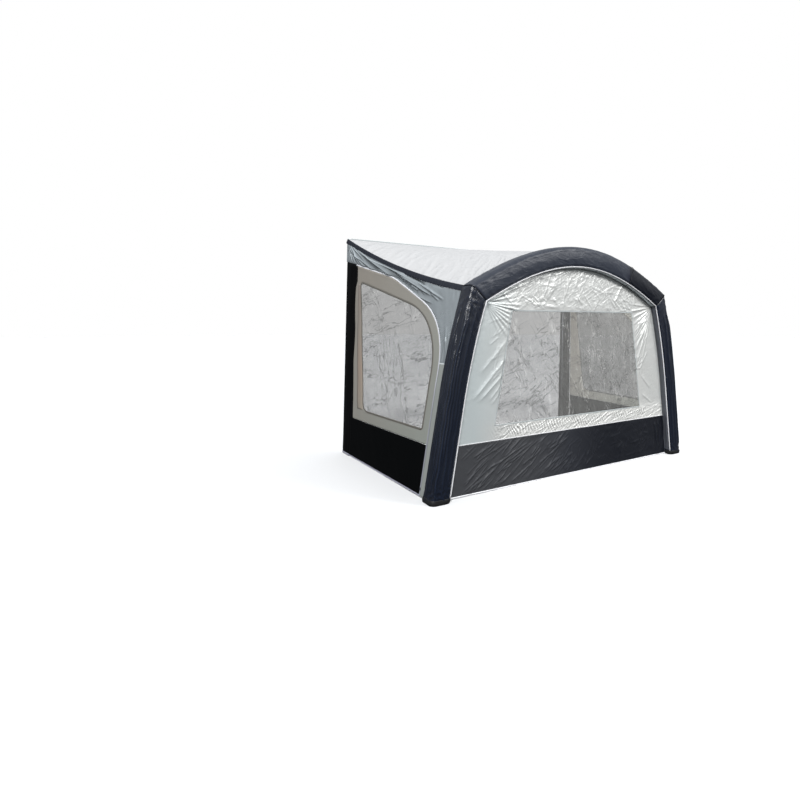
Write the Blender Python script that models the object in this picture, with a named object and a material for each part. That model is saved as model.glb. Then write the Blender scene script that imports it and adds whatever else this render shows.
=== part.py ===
"""Inflatable porch canopy for a caravan.

One air beam arches across the front. The roof hangs between the caravan's awning rail and the beam.
Each side wall has a padded column against the caravan and a zip-in door, and the front wall has a
clear window over a dark skirt. Metres, +Z up, front towards -Y, caravan side at +Y.
"""
import math

import bmesh
import bpy
from mathutils import Matrix, Vector

# Overall sizes
RAIL_HALF = 1.625       # half of the roof's width along the awning rail
RAIL_HEIGHT = 2.345     # roof cloth at the rail
GROUND_HALF = 1.735     # half of the width against the caravan, at the ground
FRONT_REACH = 1.825     # from the caravan to the beam's front face, at the ground
BEAM_LEAN = 0.05        # the beam leans back by this much per metre of height

# Air beam
BEAM_WIDTH = 0.19       # across the beam, in the plane of the arch
BEAM_DEPTH = 0.15       # front to back
FRONT_CORNER = 0.045    # rounding of the sleeve's two front edges
REAR_CORNER = 0.020     # rounding of its two rear edges, where the walls are sewn on
FOOT_HALF = 1.481       # half of the clear width between the legs, at the ground
LEG_SPLAY = 0.192       # the legs lean in by this much per metre
LEG_STRAIGHT = 0.80     # below this height a leg is straight
LEG_CURL = 0.10         # above it the leg bends in, by this factor of the height squared
SHOULDER_HEIGHT = 1.625 # inner corner between a leg and the crown
CROWN_HEIGHT = 1.953    # top of the inner arch
CROWN_BLEND = 0.455     # share of a cosine in the arch, the rest being a parabola
BLADDER_CLEARANCE = 0.0015
BLADDER_WALL = 0.0006
BLADDER_FOOT = 0.03     # height at which the bladder ends in each leg
LEG_STATIONS = 5        # rings of the sleeve above the straight stretch
CROWN_STATIONS = 20

# Cloth and fits
CLOTH = 0.002           # thickness of each wall, roof and sleeve
FIT = 0.0003            # gap between pieces that touch
WALL_INSET = 0.03       # the side walls and the roof meet the beam's rear face this far in
FACET = 0.30            # largest facet of a sheet
FACETS = 10             # of the roof, from the rail to the beam
ON_LINE = 0.0005        # a point this close to a facet line counts as on it
TINY = 0.00001          # points this close are one
LEAST_RADIUS = 0.001    # of a rounding that is moved inwards
ARC_STEP = math.radians(13)
SECTION_STEP = math.radians(30)
COARSE_STEP = math.radians(45)
SHARP_ANGLE = math.radians(35)

# Foot pads
PAD_WALL = 0.004
PAD_FLOOR = 0.006
PAD_HEIGHT = 0.045

# Front wall
FRONT_RECESS = 0.058    # behind the beam's front face
SKIRT_TOP = 0.450
HEM_BOTTOM = 0.008
HEM_TOP = 0.034
HEM_THICKNESS = 0.006
WINDOW_TOP = 1.563
WINDOW_TOP_HALF = 0.796
WINDOW_BOTTOM = 0.581
WINDOW_BOTTOM_HALF = 0.981
FILM = 0.0008
PIPING_RADIUS = 0.005

# Side walls: q runs forward from the caravan, z up
COLUMN_RUN = 0.180      # width of the padded column, along the wall
COLUMN_PAD = 0.055      # its thickness
COLUMN_CORNER = 0.015
COLUMN_SLOPE = 0.045    # its top rises by this much towards the caravan
FOAM_WALL = 0.008
HINGE_GAP = 0.002       # between the column and the door
DOOR_DROP = 0.292       # top of the door's rear edge, below the rail
DOOR_REAR_TOP = RAIL_HEIGHT - DOOR_DROP
DOOR_KNEE = 0.780       # the zip starts to bend down here
DOOR_KNEE_DROP = 0.1033 # below the band
DOOR_KNEE_RADIUS = 0.50
DOOR_FRONT_GAP = 0.095  # between the door and the beam
DOOR_SHOULDER = SHOULDER_HEIGHT - 0.169
DOOR_SHOULDER_RADIUS = 0.65
DOOR_SKIRT_TOP = 0.440
DOOR_SILL = 0.552       # lower edge of the door's window
ZIP_WIDTH = 0.011
ZIP_THICKNESS = 0.004
ZIP_GAP = 0.0009        # between the door's zip and the fixed wall, so that the door swings clear
SPLIT_HEIGHT = 1.12     # the grey strip beside the beam ends here, below the gusset
BAND_HALF = 0.022       # half the height of the band along the roof's side edge
BAND_THICKNESS = 0.007
BAND_PROUD = 0.003      # how far it stands out of the wall
BAND_FRONT = 1.7385     # height of its middle line at the beam
ROOF_SAG = 0.064        # of the roof's side edge below a straight line
SAG_POWER = 4           # how closely the sag keeps to that edge
ROOF_INSET = 0.022      # the roof meets the crown this far below its outer edge
CROWN_REACH = 0.99      # share of the crown that the roof's front edge runs along

# Rail strip
STRIP_THICKNESS = 0.004
STRIP_DROP = 0.030
BEAD_RADIUS = 0.0035
BEAD_FROM = math.radians(-40)
BEAD_TO = math.radians(220)
BEAD_STEPS = 8

# Inflation valve, on the rear face of the left leg
VALVE_HEIGHT = 0.36
VALVE_NECK = 0.016
VALVE_BORE = 0.010
VALVE_FLANGE = 0.026
VALVE_COLLAR = 0.014
VALVE_RIM = 0.003
VALVE_TALL = 0.018
VALVE_DEEP = 0.014
VALVE_WEB = 0.002
STEM_RADIUS = 0.003
STEM_BUTTON = 0.0045
STEM_TOP = 0.010
STEM_SEAL = 0.0015
CAP_WALL = 0.0025
VALVE_CUT = 0.06        # length of the cutter for its hole

# Zip slider and its pull tab
SLIDER_FOOT = 0.060
SLIDER_LENGTH = 0.022
SLIDER_WIDTH = 0.013
SLIDER_THICKNESS = 0.004
SLIDER_CORNER = 0.003
PULL_HANG = 0.006
PULL_LENGTH = 0.022
PULL_WIDTH = 0.007
PULL_THICKNESS = 0.0015
PULL_CORNER = 0.002

# Poles
POLE_RADIUS = 0.0125
POLE_WALL = 0.0012
POLE_START = 0.0012
POLE_SPLIT = 1.15
POLE_UPPER_START = 0.72
POLE_HEADROOM = 0.060   # under the roof at the rail
POLE_STANDOFF = 0.0006  # between the foot and the column
POLE_FOOT_RADIUS = 0.0155
POLE_FOOT_HEIGHT = 0.030
POLE_FOOT_FLOOR = 0.004
CLAMP_LENGTH = 0.030
CLAMP_LIP = 0.008
LEVER_THICKNESS = 0.006
LEVER_TIP = 0.004
LEVER_WIDTH = 0.010
LEVER_CORNER = 0.002
ROOF_POLE_SHARE = 0.45  # of half the roof's width, out from the middle
ROOF_POLE_DROP = 0.0015 # below the lowest the roof sags over it
ROOF_TUBE_SHARE = 0.60  # of the pole's length, held by its outer tube
ROOF_TUBE_LAP = 0.15    # share of it that the inner tube goes into the outer one
SOCKET_RADIUS = 0.0150
SOCKET_DEPTH = 0.028
SOCKET_FLOOR = 0.004

# Pegging rings
PEG_RING = 0.013
PEG_CORD = 0.0025

OVERALL_DEPTH = FRONT_REACH + FIT + PAD_WALL
REAR_Y = OVERALL_DEPTH / 2
FRONT_Y = REAR_Y - FRONT_REACH
SIDE_RUN = FRONT_REACH - BEAM_DEPTH
DOOR_FRONT = SIDE_RUN - DOOR_FRONT_GAP
DOOR_WINDOW = ((0.270, DOOR_REAR_TOP - 0.171, 0.03), (DOOR_FRONT - 0.065, SHOULDER_HEIGHT - 0.126, 0.62),
               (DOOR_FRONT - 0.085, DOOR_SILL, 0.03), (0.452, DOOR_SILL, 0.10))
BAND_REAR = RAIL_HEIGHT + FIT - BAND_HALF
BAND_INSIDE = BAND_THICKNESS - BAND_PROUD + FIT
ROOF_START = STRIP_THICKNESS + FIT
POLE_TOP = RAIL_HEIGHT - POLE_HEADROOM

SIDES = (("left", -1), ("right", 1))


def fresh_scene():
    for thing in list(bpy.data.objects):
        bpy.data.objects.remove(thing)


def collection(name):
    made = bpy.data.collections.new(name)
    bpy.context.scene.collection.children.link(made)
    return made


def material(name, colour, roughness, metallic=0.0, alpha=1.0):
    made = bpy.data.materials.new(name)
    made.use_nodes = True
    shader = made.node_tree.nodes["Principled BSDF"]
    shader.inputs["Base Color"].default_value = (*colour, 1.0)
    shader.inputs["Roughness"].default_value = roughness
    shader.inputs["Metallic"].default_value = metallic
    shader.inputs["Alpha"].default_value = alpha
    return made


def finish_mesh(name, bm, finish, smooth=True, void=()):
    """Turn a bmesh into a named object of the canopy. A void's faces look into the hollow."""
    bmesh.ops.recalc_face_normals(bm, faces=bm.faces[:])
    if bm.calc_volume(signed=True) < 0:
        bmesh.ops.reverse_faces(bm, faces=bm.faces[:])
    bmesh.ops.reverse_faces(bm, faces=list(void))
    mesh = bpy.data.meshes.new(name)
    bm.to_mesh(mesh)
    bm.free()
    if smooth:
        mesh.shade_smooth()
        mesh.set_sharp_from_angle(angle=SHARP_ANGLE)
    made = bpy.data.objects.new(name, mesh)
    mesh.materials.append(FINISH[finish])
    CANOPY.objects.link(made)
    return made


def cut(body, cutter):
    """Take the cutter out of the body."""
    for owner in list(cutter.users_collection):
        owner.objects.unlink(cutter)
    CUTTERS.objects.link(cutter)
    cutter.hide_render = True
    cutter.display_type = "WIRE"
    step = body.modifiers.new("cut", "BOOLEAN")
    step.operation = "DIFFERENCE"
    step.solver = "EXACT"
    step.object = cutter


# Outlines in a plane

def rounded(corners, closed=True, step=ARC_STEP):
    """Straight runs between corners (a, b, radius), with an arc at each corner that has a radius."""
    points = []
    count = len(corners)
    for i, (a, b, radius) in enumerate(corners):
        here = Vector((a, b))
        at_end = not closed and i in (0, count - 1)
        if radius <= 0 or at_end:
            points.append(here)
            continue
        back = (Vector(corners[i - 1][:2]) - here).normalized()
        ahead = (Vector(corners[(i + 1) % count][:2]) - here).normalized()
        half = back.angle(ahead) / 2
        centre = here + (back + ahead).normalized() * (radius / math.sin(half))
        first = here + back * (radius / math.tan(half))
        spoke = first - centre
        turn = math.pi - 2 * half
        if back.cross(ahead) > 0:
            turn = -turn
        steps = max(1, round(abs(turn) / step))
        for k in range(steps + 1):
            points.append(centre + Matrix.Rotation(turn * k / steps, 2) @ spoke)
    return points


def shifted(path, distance):
    """An open path moved to its left by a distance."""
    moved = []
    for i, here in enumerate(path):
        before = (here - path[i - 1]).normalized() if i else None
        after = (path[i + 1] - here).normalized() if i + 1 < len(path) else None
        before = before or after
        after = after or before
        way = (before + after).normalized()
        left = Vector((-way.y, way.x))
        moved.append(here + left * (distance / way.dot(after)))
    return moved


# Solids

def cloth(name, outline, place, thickness, finish, holes=(), start=0.0, grid=FACET):
    """A sheet: a flat outline with holes, cut into facets, thickened and laid on a curved surface."""
    bm = bmesh.new()
    for loop in (outline, *holes):
        corners = [bm.verts.new((a, b, 0.0)) for a, b in loop]
        for i, corner in enumerate(corners):
            bm.edges.new((corners[i - 1], corner))
    bmesh.ops.triangle_fill(bm, use_beauty=True, edges=bm.edges[:])
    for axis in ((1, 0, 0), (0, 1, 0)):
        along = [vert.co.dot(Vector(axis)) for vert in bm.verts]
        for line in range(math.ceil(min(along) / grid), math.floor(max(along) / grid) + 1):
            whole = bm.verts[:] + bm.edges[:] + bm.faces[:]
            bmesh.ops.bisect_plane(bm, geom=whole, dist=ON_LINE, plane_co=Vector(axis) * line * grid,
                                   plane_no=axis)
    bmesh.ops.triangulate(bm, faces=bm.faces[:])
    raised = bmesh.ops.extrude_face_region(bm, geom=bm.faces[:])
    for item in raised["geom"]:
        if isinstance(item, bmesh.types.BMVert):
            item.co.z = 1.0
    for vert in bm.verts:
        vert.co = place(vert.co.x, vert.co.y, start + thickness * vert.co.z)
    return finish_mesh(name, bm, finish, smooth=False)


def tube(name, outer, inner, finish, sealed=False):
    """A hollow sleeve between two rows of rings. A sealed one is closed at both ends."""
    bm = bmesh.new()
    skins = []
    for rings in (outer, inner):
        rows = [[bm.verts.new(point) for point in ring] for ring in rings]
        faces = []
        for lower, upper in zip(rows, rows[1:]):
            for i in range(len(lower)):
                faces.append(bm.faces.new((lower[i - 1], lower[i], upper[i], upper[i - 1])))
        if sealed:
            faces += [bm.faces.new(rows[0]), bm.faces.new(rows[-1])]
        skins.append((rows, faces))
    if sealed:
        return finish_mesh(name, bm, finish, void=skins[1][1])
    for end in (0, -1):
        rim, lip = skins[0][0][end], skins[1][0][end]
        for i in range(len(rim)):
            bm.faces.new((rim[i - 1], rim[i], lip[i], lip[i - 1]))
    return finish_mesh(name, bm, finish)


def turned(name, profile, start, end, finish, sides=16):
    """A profile of (radius, distance) points spun round the line from start towards end."""
    bm = bmesh.new()
    ring = [bm.verts.new((radius, 0.0, along)) for radius, along in profile]
    edges = [bm.edges.new((ring[i - 1], ring[i])) for i in range(len(ring))]
    bmesh.ops.spin(bm, geom=ring + edges, angle=math.tau, steps=sides, axis=(0, 0, 1), cent=(0, 0, 0),
                   use_merge=True)
    bmesh.ops.remove_doubles(bm, verts=bm.verts[:], dist=TINY)
    bmesh.ops.dissolve_degenerate(bm, dist=TINY, edges=bm.edges[:])
    made = finish_mesh(name, bm, finish)
    place_along(made, start, end)
    return made


def place_along(thing, start, end):
    """Put an object's origin at start with its +Z towards end."""
    thing.location = start
    thing.rotation_euler = (Vector(end) - Vector(start)).to_track_quat("Z", "Y").to_euler()


# Surfaces of the canopy

def beam_y(depth, z):
    """Y of a point this far behind the beam's front face, at height z."""
    return FRONT_Y + depth + BEAM_LEAN * z


def inner_half(z):
    """Half of the clear width between the legs."""
    return FOOT_HALF - LEG_SPLAY * z - LEG_CURL * max(0.0, z - LEG_STRAIGHT) ** 2


def arch(u):
    """Inner edge of the crown, as (x, z), for u from -1 to 1."""
    rise = CROWN_HEIGHT - SHOULDER_HEIGHT
    share = CROWN_BLEND * math.cos(u * math.pi / 2) + (1 - CROWN_BLEND) * (1 - u * u)
    return Vector((inner_half(SHOULDER_HEIGHT) * u, SHOULDER_HEIGHT + rise * share))


def arch_normal(u, step=0.005):
    run = (arch(u + step) - arch(u - step)).normalized()
    return Vector((-run.y, run.x))


def mitre():
    """From the inner shoulder to the outer one, on the right side."""
    step = 0.01
    run = Vector((inner_half(SHOULDER_HEIGHT) - inner_half(SHOULDER_HEIGHT - step), step)).normalized()
    leg_normal = Vector((run.y, -run.x))
    way = (leg_normal + arch_normal(1.0)).normalized()
    return way * (BEAM_WIDTH / way.dot(leg_normal))


MITRE = mitre()


def leg_frame(height):
    """Inner point and cross vector of a right leg's ring, as (x, z)."""
    share = height / SHOULDER_HEIGHT
    return Vector((inner_half(height), height)), Vector((BEAM_WIDTH, 0.0)).lerp(MITRE, share)


def crown_frame(u):
    if abs(u) > 0.999:
        return arch(u), Vector((math.copysign(MITRE.x, u), MITRE.y))
    return arch(u), arch_normal(u) * BEAM_WIDTH


def beam_ring(frame, grow=0.0, side=1):
    """The sleeve's rounded section at a frame, grown or shrunk by a distance."""
    inner, across = frame
    way = across.normalized()
    width = across.length
    front = max(FRONT_CORNER + grow, LEAST_RADIUS)
    rear = max(REAR_CORNER + grow, LEAST_RADIUS)
    corners = ((-grow, -grow, front), (width + grow, -grow, front),
               (width + grow, BEAM_DEPTH + grow, rear), (-grow, BEAM_DEPTH + grow, rear))
    ring = []
    for a, depth in rounded(corners, step=SECTION_STEP):
        flat = inner + way * a
        ring.append((side * flat.x, beam_y(depth, flat.y), flat.y))
    return ring


def leg_slice(z, grow, side):
    """The leg's section, cut level at a height near the ground."""
    lower, upper = (beam_ring(leg_frame(height), grow, side) for height in leg_heights(PAD_FLOOR + FIT)[:2])
    level = []
    for low, high in zip(lower, upper):
        share = (z - low[2]) / (high[2] - low[2])
        level.append(Vector(low).lerp(Vector(high), share))
    return level


def bladder_ring(frame, shrink, side=1, points=12):
    """An ellipse inside the sleeve's section."""
    inner, across = frame
    way = across.normalized()
    width = across.length
    gap = CLOTH + BLADDER_CLEARANCE + shrink
    ring = []
    for k in range(points):
        turn = math.tau * (k + 0.5) / points
        flat = inner + way * (width / 2 + (width / 2 - gap) * math.cos(turn))
        depth = BEAM_DEPTH / 2 + (BEAM_DEPTH / 2 - gap) * math.sin(turn)
        ring.append((side * flat.x, beam_y(depth, flat.y), flat.y))
    return ring


def leg_heights(base):
    upper = [LEG_STRAIGHT + (SHOULDER_HEIGHT - LEG_STRAIGHT) * k / LEG_STATIONS
             for k in range(LEG_STATIONS + 1)]
    return [base, LEG_STRAIGHT / 2, *upper]


def crown_stations(end=1.0):
    return [end * (2 * k / CROWN_STATIONS - 1) for k in range(CROWN_STATIONS + 1)]


def rear_half(z):
    """Half of the width against the caravan."""
    return GROUND_HALF + (RAIL_HALF - GROUND_HALF) * z / RAIL_HEIGHT


def side_point(q, z, inward=0.0, side=1):
    """A point of a side wall, q forward from the caravan, with its depth into the canopy."""
    share = q / SIDE_RUN
    up = z / (SHOULDER_HEIGHT + MITRE.y)
    straight = FOOT_HALF - LEG_SPLAY * up * SHOULDER_HEIGHT + (1 - up) * BEAM_WIDTH + up * MITRE.x
    curl = LEG_CURL * max(0.0, up * SHOULDER_HEIGHT - LEG_STRAIGHT) ** 2
    x = (1 - share) * rear_half(z) + share * (straight - WALL_INSET) - share * share * curl
    y = REAR_Y - share * (REAR_Y - beam_y(BEAM_DEPTH, z))
    return Vector((side * (x - inward), y, z))


def wall(side):
    return lambda q, z, inward: side_point(q, z, inward, side)


def front_point(x, z, depth):
    return Vector((x, beam_y(FRONT_RECESS + depth, z), z))


def band_height(q, offset=0.0):
    """Height of the band along the roof's side edge."""
    share = q / SIDE_RUN
    return BAND_REAR + (BAND_FRONT - BAND_REAR) * share - 4 * ROOF_SAG * share * (1 - share) + offset


def crown_edge(u):
    """Where the roof meets the crown's rear face, as (x, z)."""
    inner, across = crown_frame(u)
    return inner + across.normalized() * (across.length - ROOF_INSET)


def roof_edge(s):
    """Right side edge of the roof, just inside the band."""
    q = ROOF_START + (SIDE_RUN - ROOF_START) * s
    return side_point(q, band_height(q, BAND_HALF - FIT), BAND_INSIDE)


def roof_point(u, s, down=0.0):
    """A point of the roof, u across from -1 to 1 and s forward from 0 to 1."""
    front = crown_edge(u * CROWN_REACH)
    corner = crown_edge(CROWN_REACH)
    start = roof_edge(0.0)
    edge = roof_edge(s)
    weight = u ** SAG_POWER
    x = (1 - s) * u * start.x + s * front.x + u * (edge.x - (1 - s) * start.x - s * corner.x)
    z = (1 - s) * start.z + s * front.y + weight * (edge.z - (1 - s) * start.z - s * corner.y)
    rear = REAR_Y - ROOF_START
    y = rear - s * (rear - beam_y(BEAM_DEPTH + FIT, z))
    return Vector((x, y, z - down))


# Pieces

def build_beam():
    for name, side in SIDES:
        frames = [leg_frame(height) for height in leg_heights(PAD_FLOOR + FIT)]
        frames[-1] = leg_frame(SHOULDER_HEIGHT - 2 * FIT)
        outer = [beam_ring(frame, side=side) for frame in frames]
        inner = [beam_ring(frame, -CLOTH, side) for frame in frames]
        leg = tube("beam_sleeve_" + name, outer, inner, "navy cloth")
        if name == "left":
            cut(leg, valve_cutter("sleeve_valve_hole"))
    frames = [crown_frame(u) for u in crown_stations()]
    tube("beam_sleeve_crown", [beam_ring(frame) for frame in frames],
         [beam_ring(frame, -CLOTH) for frame in frames], "navy cloth")


def build_bladder():
    """One air tube through both legs and the crown."""
    legs = [leg_frame(height) for height in leg_heights(BLADDER_FOOT)]
    frames = [(Vector((-inner.x, inner.y)), Vector((-across.x, across.y))) for inner, across in legs]
    frames += [crown_frame(u) for u in crown_stations()][1:-1] + legs[::-1]
    bladder = tube("air_bladder", [bladder_ring(frame, 0.0) for frame in frames],
                   [bladder_ring(frame, BLADDER_WALL) for frame in frames], "bladder", sealed=True)
    cut(bladder, valve_cutter("bladder_valve_hole"))


def build_valve():
    """A collar through the sleeve and the bladder, a stem that seals it from inside and a screw cap."""
    start, end = valve_point(0.0), valve_point(1.0)
    hole = STEM_RADIUS + FIT
    turned("valve_base", [(hole, -VALVE_WEB), (VALVE_BORE, -VALVE_WEB), (VALVE_BORE, -VALVE_DEEP),
                          (VALVE_NECK, -VALVE_DEEP), (VALVE_NECK, FIT), (VALVE_FLANGE, FIT),
                          (VALVE_FLANGE, VALVE_RIM), (VALVE_COLLAR, VALVE_RIM), (VALVE_COLLAR, VALVE_TALL),
                          (VALVE_BORE, VALVE_TALL), (VALVE_BORE, 0.0), (hole, 0.0)],
           start, end, "black plastic", sides=24)
    seal = -VALVE_DEEP - FIT
    disc = VALVE_NECK - FIT
    turned("valve_stem", [(0.0, seal - STEM_SEAL), (disc, seal - STEM_SEAL), (disc, seal),
                          (STEM_RADIUS, seal), (STEM_RADIUS, STEM_TOP), (STEM_BUTTON, STEM_TOP),
                          (STEM_BUTTON, STEM_TOP + STEM_SEAL), (0.0, STEM_TOP + STEM_SEAL)],
           start, end, "black plastic", sides=12)
    wall_in = VALVE_COLLAR + FIT
    roof_in = VALVE_TALL + FIT
    wall_out = wall_in + CAP_WALL
    turned("valve_cap", [(0.0, roof_in), (wall_in, roof_in), (wall_in, VALVE_RIM + FIT),
                         (wall_out, VALVE_RIM + FIT), (wall_out, roof_in + CAP_WALL / 2),
                         (wall_in, roof_in + CAP_WALL), (0.0, roof_in + CAP_WALL)],
           start, end, "black plastic", sides=24)


def build_foot_pads():
    """A cup under each leg, with the sleeve's end inside."""
    outset = FIT + PAD_WALL
    for name, side in SIDES:
        bm = bmesh.new()
        heights = ((0.0, outset), (PAD_HEIGHT, outset), (PAD_HEIGHT, FIT), (PAD_FLOOR, FIT))
        rows = []
        for z, grow in heights:
            rows.append([bm.verts.new(point) for point in leg_slice(z, grow, side)])
        for lower, upper in zip(rows, rows[1:]):
            for i in range(len(lower)):
                bm.faces.new((lower[i - 1], lower[i], upper[i], upper[i - 1]))
        bm.faces.new(rows[0])
        bm.faces.new(rows[-1])
        finish_mesh("foot_pad_" + name, bm, "black plastic")


def inner_outline(offset):
    """Right half of the front wall's edge above the skirt, from low to high."""
    points = [Vector((inner_half(SKIRT_TOP) - offset, SKIRT_TOP))]
    for height in leg_heights(SKIRT_TOP)[2:-1]:
        points.append(Vector((inner_half(height) - offset, height)))
    for u in reversed(crown_stations()[CROWN_STATIONS // 2:]):
        point = arch(u) - (MITRE.normalized() if u > 0.999 else arch_normal(u)) * offset
        points.append(point)
    return points


def mirrored(points):
    """A right half from low to high, closed over to the left."""
    left = [Vector((-point.x, point.y)) for point in reversed(points) if point.x > 1e-6]
    return points + left


def build_front_wall():
    window = [Vector((-WINDOW_BOTTOM_HALF, WINDOW_BOTTOM)), Vector((WINDOW_BOTTOM_HALF, WINDOW_BOTTOM)),
              Vector((WINDOW_TOP_HALF, WINDOW_TOP)), Vector((-WINDOW_TOP_HALF, WINDOW_TOP))]
    cloth("front_panel", mirrored(inner_outline(2 * FIT)), front_point, CLOTH, "silver cloth",
          holes=(window,))
    film = [Vector((point.x - math.copysign(FIT, point.x), point.y + (FIT if point.y < 1 else -FIT)))
            for point in window]
    cloth("front_window", film, front_point, FILM, "clear film", start=(CLOTH - FILM) / 2)
    clear = 2 * FIT + PAD_WALL + FIT
    shelf = PAD_HEIGHT + FIT
    skirt = [Vector((inner_half(HEM_TOP) - clear, HEM_TOP + FIT)),
             Vector((inner_half(shelf) - clear, shelf)),
             Vector((inner_half(shelf) - 2 * FIT, shelf)),
             Vector((inner_half(SKIRT_TOP) - 2 * FIT, SKIRT_TOP - FIT))]
    cloth("front_skirt", mirrored(skirt), front_point, CLOTH, "charcoal cloth")
    hem = [Vector((inner_half(HEM_BOTTOM) - clear, HEM_BOTTOM)),
           Vector((inner_half(HEM_TOP) - clear, HEM_TOP))]
    cloth("front_hem", mirrored(hem), front_point, HEM_THICKNESS, "white tape",
          start=(CLOTH - HEM_THICKNESS) / 2)


def build_piping():
    """A cord sewn along the beam's front inner edge."""
    reach = FRONT_CORNER * (1 - math.sqrt(0.5)) - (PIPING_RADIUS + 2 * FIT) * math.sqrt(0.5)
    frames = [leg_frame(height) for height in leg_heights(PAD_HEIGHT + FIT)][:-1]
    right = [(inner + across.normalized() * reach) for inner, across in frames]
    top = [arch(u) + (MITRE.normalized() if u > 0.999 else arch_normal(u)) * reach
           for u in reversed(crown_stations()[CROWN_STATIONS // 2:])]
    line = [(flat.x, beam_y(reach, flat.y), flat.y) for flat in mirrored(right + top)]
    tape = bpy.data.curves.new("front_piping", "CURVE")
    tape.dimensions = "3D"
    tape.bevel_depth = PIPING_RADIUS
    tape.bevel_resolution = 1
    tape.use_fill_caps = True
    spline = tape.splines.new("POLY")
    spline.points.add(len(line) - 1)
    for point, place in zip(spline.points, line):
        point.co = (*place, 1.0)
    tape.materials.append(FINISH["white tape"])
    CANOPY.objects.link(bpy.data.objects.new("front_piping", tape))


def door_path(bottom=HEM_BOTTOM):
    """The door's zipped edge, from its rear top corner forward and down."""
    corners = ((COLUMN_RUN + HINGE_GAP, DOOR_REAR_TOP, 0),
               (DOOR_KNEE, band_height(DOOR_KNEE) - DOOR_KNEE_DROP, DOOR_KNEE_RADIUS),
               (DOOR_FRONT, DOOR_SHOULDER, DOOR_SHOULDER_RADIUS), (DOOR_FRONT, bottom, 0))
    return rounded(corners, closed=False)


def band_strip(offset, count=12):
    end = SIDE_RUN - FIT
    return [Vector((end * k / count, band_height(end * k / count, offset))) for k in range(count + 1)]


def build_side_wall(name, side):
    place = wall(side)
    front = SIDE_RUN - FIT
    reach = FIT + ZIP_WIDTH + ZIP_GAP
    fixed = shifted(door_path(), reach)
    split_q = DOOR_FRONT + reach
    above = [point for point in fixed if point.y > SPLIT_HEIGHT]
    gusset = ([Vector((0, column_top(0) + FIT)), Vector((COLUMN_RUN, column_top(COLUMN_RUN) + FIT))] + above
              + [Vector((split_q, SPLIT_HEIGHT)), Vector((front, SPLIT_HEIGHT))]
              + band_strip(-BAND_HALF - FIT)[::-1])
    cloth("gusset_" + name, gusset, place, CLOTH, "silver cloth")
    notch = front - PAD_WALL - FIT
    strip = [Vector((split_q, HEM_BOTTOM)), Vector((notch, HEM_BOTTOM)), Vector((notch, PAD_HEIGHT + FIT)),
             Vector((front, PAD_HEIGHT + FIT)), Vector((front, SPLIT_HEIGHT - FIT)),
             Vector((split_q, SPLIT_HEIGHT - FIT))]
    cloth("side_strip_" + name, strip, place, CLOTH, "grey cloth")
    band = band_strip(-BAND_HALF) + band_strip(BAND_HALF)[::-1]
    cloth("roof_band_" + name, band, place, BAND_THICKNESS, "navy cloth", start=-BAND_PROUD)


def column_top(q):
    return DOOR_REAR_TOP + ZIP_WIDTH + COLUMN_SLOPE * (1 - q / COLUMN_RUN)


def column_ring(share, grow, side, floor=0.0):
    """A column's rounded section, at a share of its height."""
    corners = ((-grow, -grow), (COLUMN_RUN + grow, -grow),
               (COLUMN_RUN + grow, COLUMN_PAD + grow), (-grow, COLUMN_PAD + grow))
    radius = COLUMN_CORNER + grow
    ring = []
    for q, inward in rounded([(*corner, radius) for corner in corners], step=COARSE_STEP):
        z = floor + (column_top(q) + grow - floor) * share
        ring.append(side_point(q, z, inward, side))
    return ring


def build_column(name, side):
    """A padded sleeve that lies against the caravan, with a foam liner inside."""
    shares = (0.0, 0.25, 0.5, 0.75, 1.0)
    tube("rear_column_" + name, [column_ring(share, 0.0, side) for share in shares],
         [column_ring(share, -CLOTH, side) for share in shares], "black cloth")
    foam = -CLOTH - FIT
    tube("rear_foam_" + name, [column_ring(share, foam, side, CLOTH) for share in shares],
         [column_ring(share, foam - FOAM_WALL, side, CLOTH) for share in shares], "foam")


def build_door(name, side):
    place = wall(side)
    rear = COLUMN_RUN + HINGE_GAP
    path = door_path()
    above = [point for point in path if point.y > DOOR_SKIRT_TOP]
    frame = above + [Vector((DOOR_FRONT, DOOR_SKIRT_TOP)), Vector((rear, DOOR_SKIRT_TOP))]
    window = rounded(DOOR_WINDOW)
    cloth("door_frame_" + name, frame, place, CLOTH, "grey cloth", holes=(window,))
    shrunk = [(q, z, radius - FIT) for q, z, radius in inset_corners(DOOR_WINDOW, FIT)]
    cloth("door_window_" + name, rounded(shrunk), place, FILM, "clear film", start=(CLOTH - FILM) / 2)
    skirt = [Vector((rear, HEM_TOP + FIT)), Vector((DOOR_FRONT, HEM_TOP + FIT)),
             Vector((DOOR_FRONT, DOOR_SKIRT_TOP - FIT)), Vector((rear, DOOR_SKIRT_TOP - FIT))]
    cloth("door_skirt_" + name, skirt, place, CLOTH, "black cloth")
    hem = [Vector((rear, HEM_BOTTOM)), Vector((DOOR_FRONT, HEM_BOTTOM)), Vector((DOOR_FRONT, HEM_TOP)),
           Vector((rear, HEM_TOP))]
    cloth("door_hem_" + name, hem, place, HEM_THICKNESS, "grey tape", start=(CLOTH - HEM_THICKNESS) / 2)
    zip_strip = shifted(path, ZIP_WIDTH + FIT)[::-1] + shifted(path, FIT)
    cloth("door_zip_" + name, zip_strip, place, ZIP_THICKNESS, "zip", start=(CLOTH - ZIP_THICKNESS) / 2)


def inset_corners(corners, distance):
    """Corner points moved in from both of their edges."""
    moved = []
    count = len(corners)
    middle = sum((Vector(corner[:2]) for corner in corners), Vector((0, 0))) / count
    for i, (a, b, radius) in enumerate(corners):
        here = Vector((a, b))
        back = (Vector(corners[i - 1][:2]) - here).normalized()
        ahead = (Vector(corners[(i + 1) % count][:2]) - here).normalized()
        half = back.angle(ahead) / 2
        moved.append((*(here + (back + ahead).normalized() * (distance / math.sin(half))), radius))
    return moved


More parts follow.
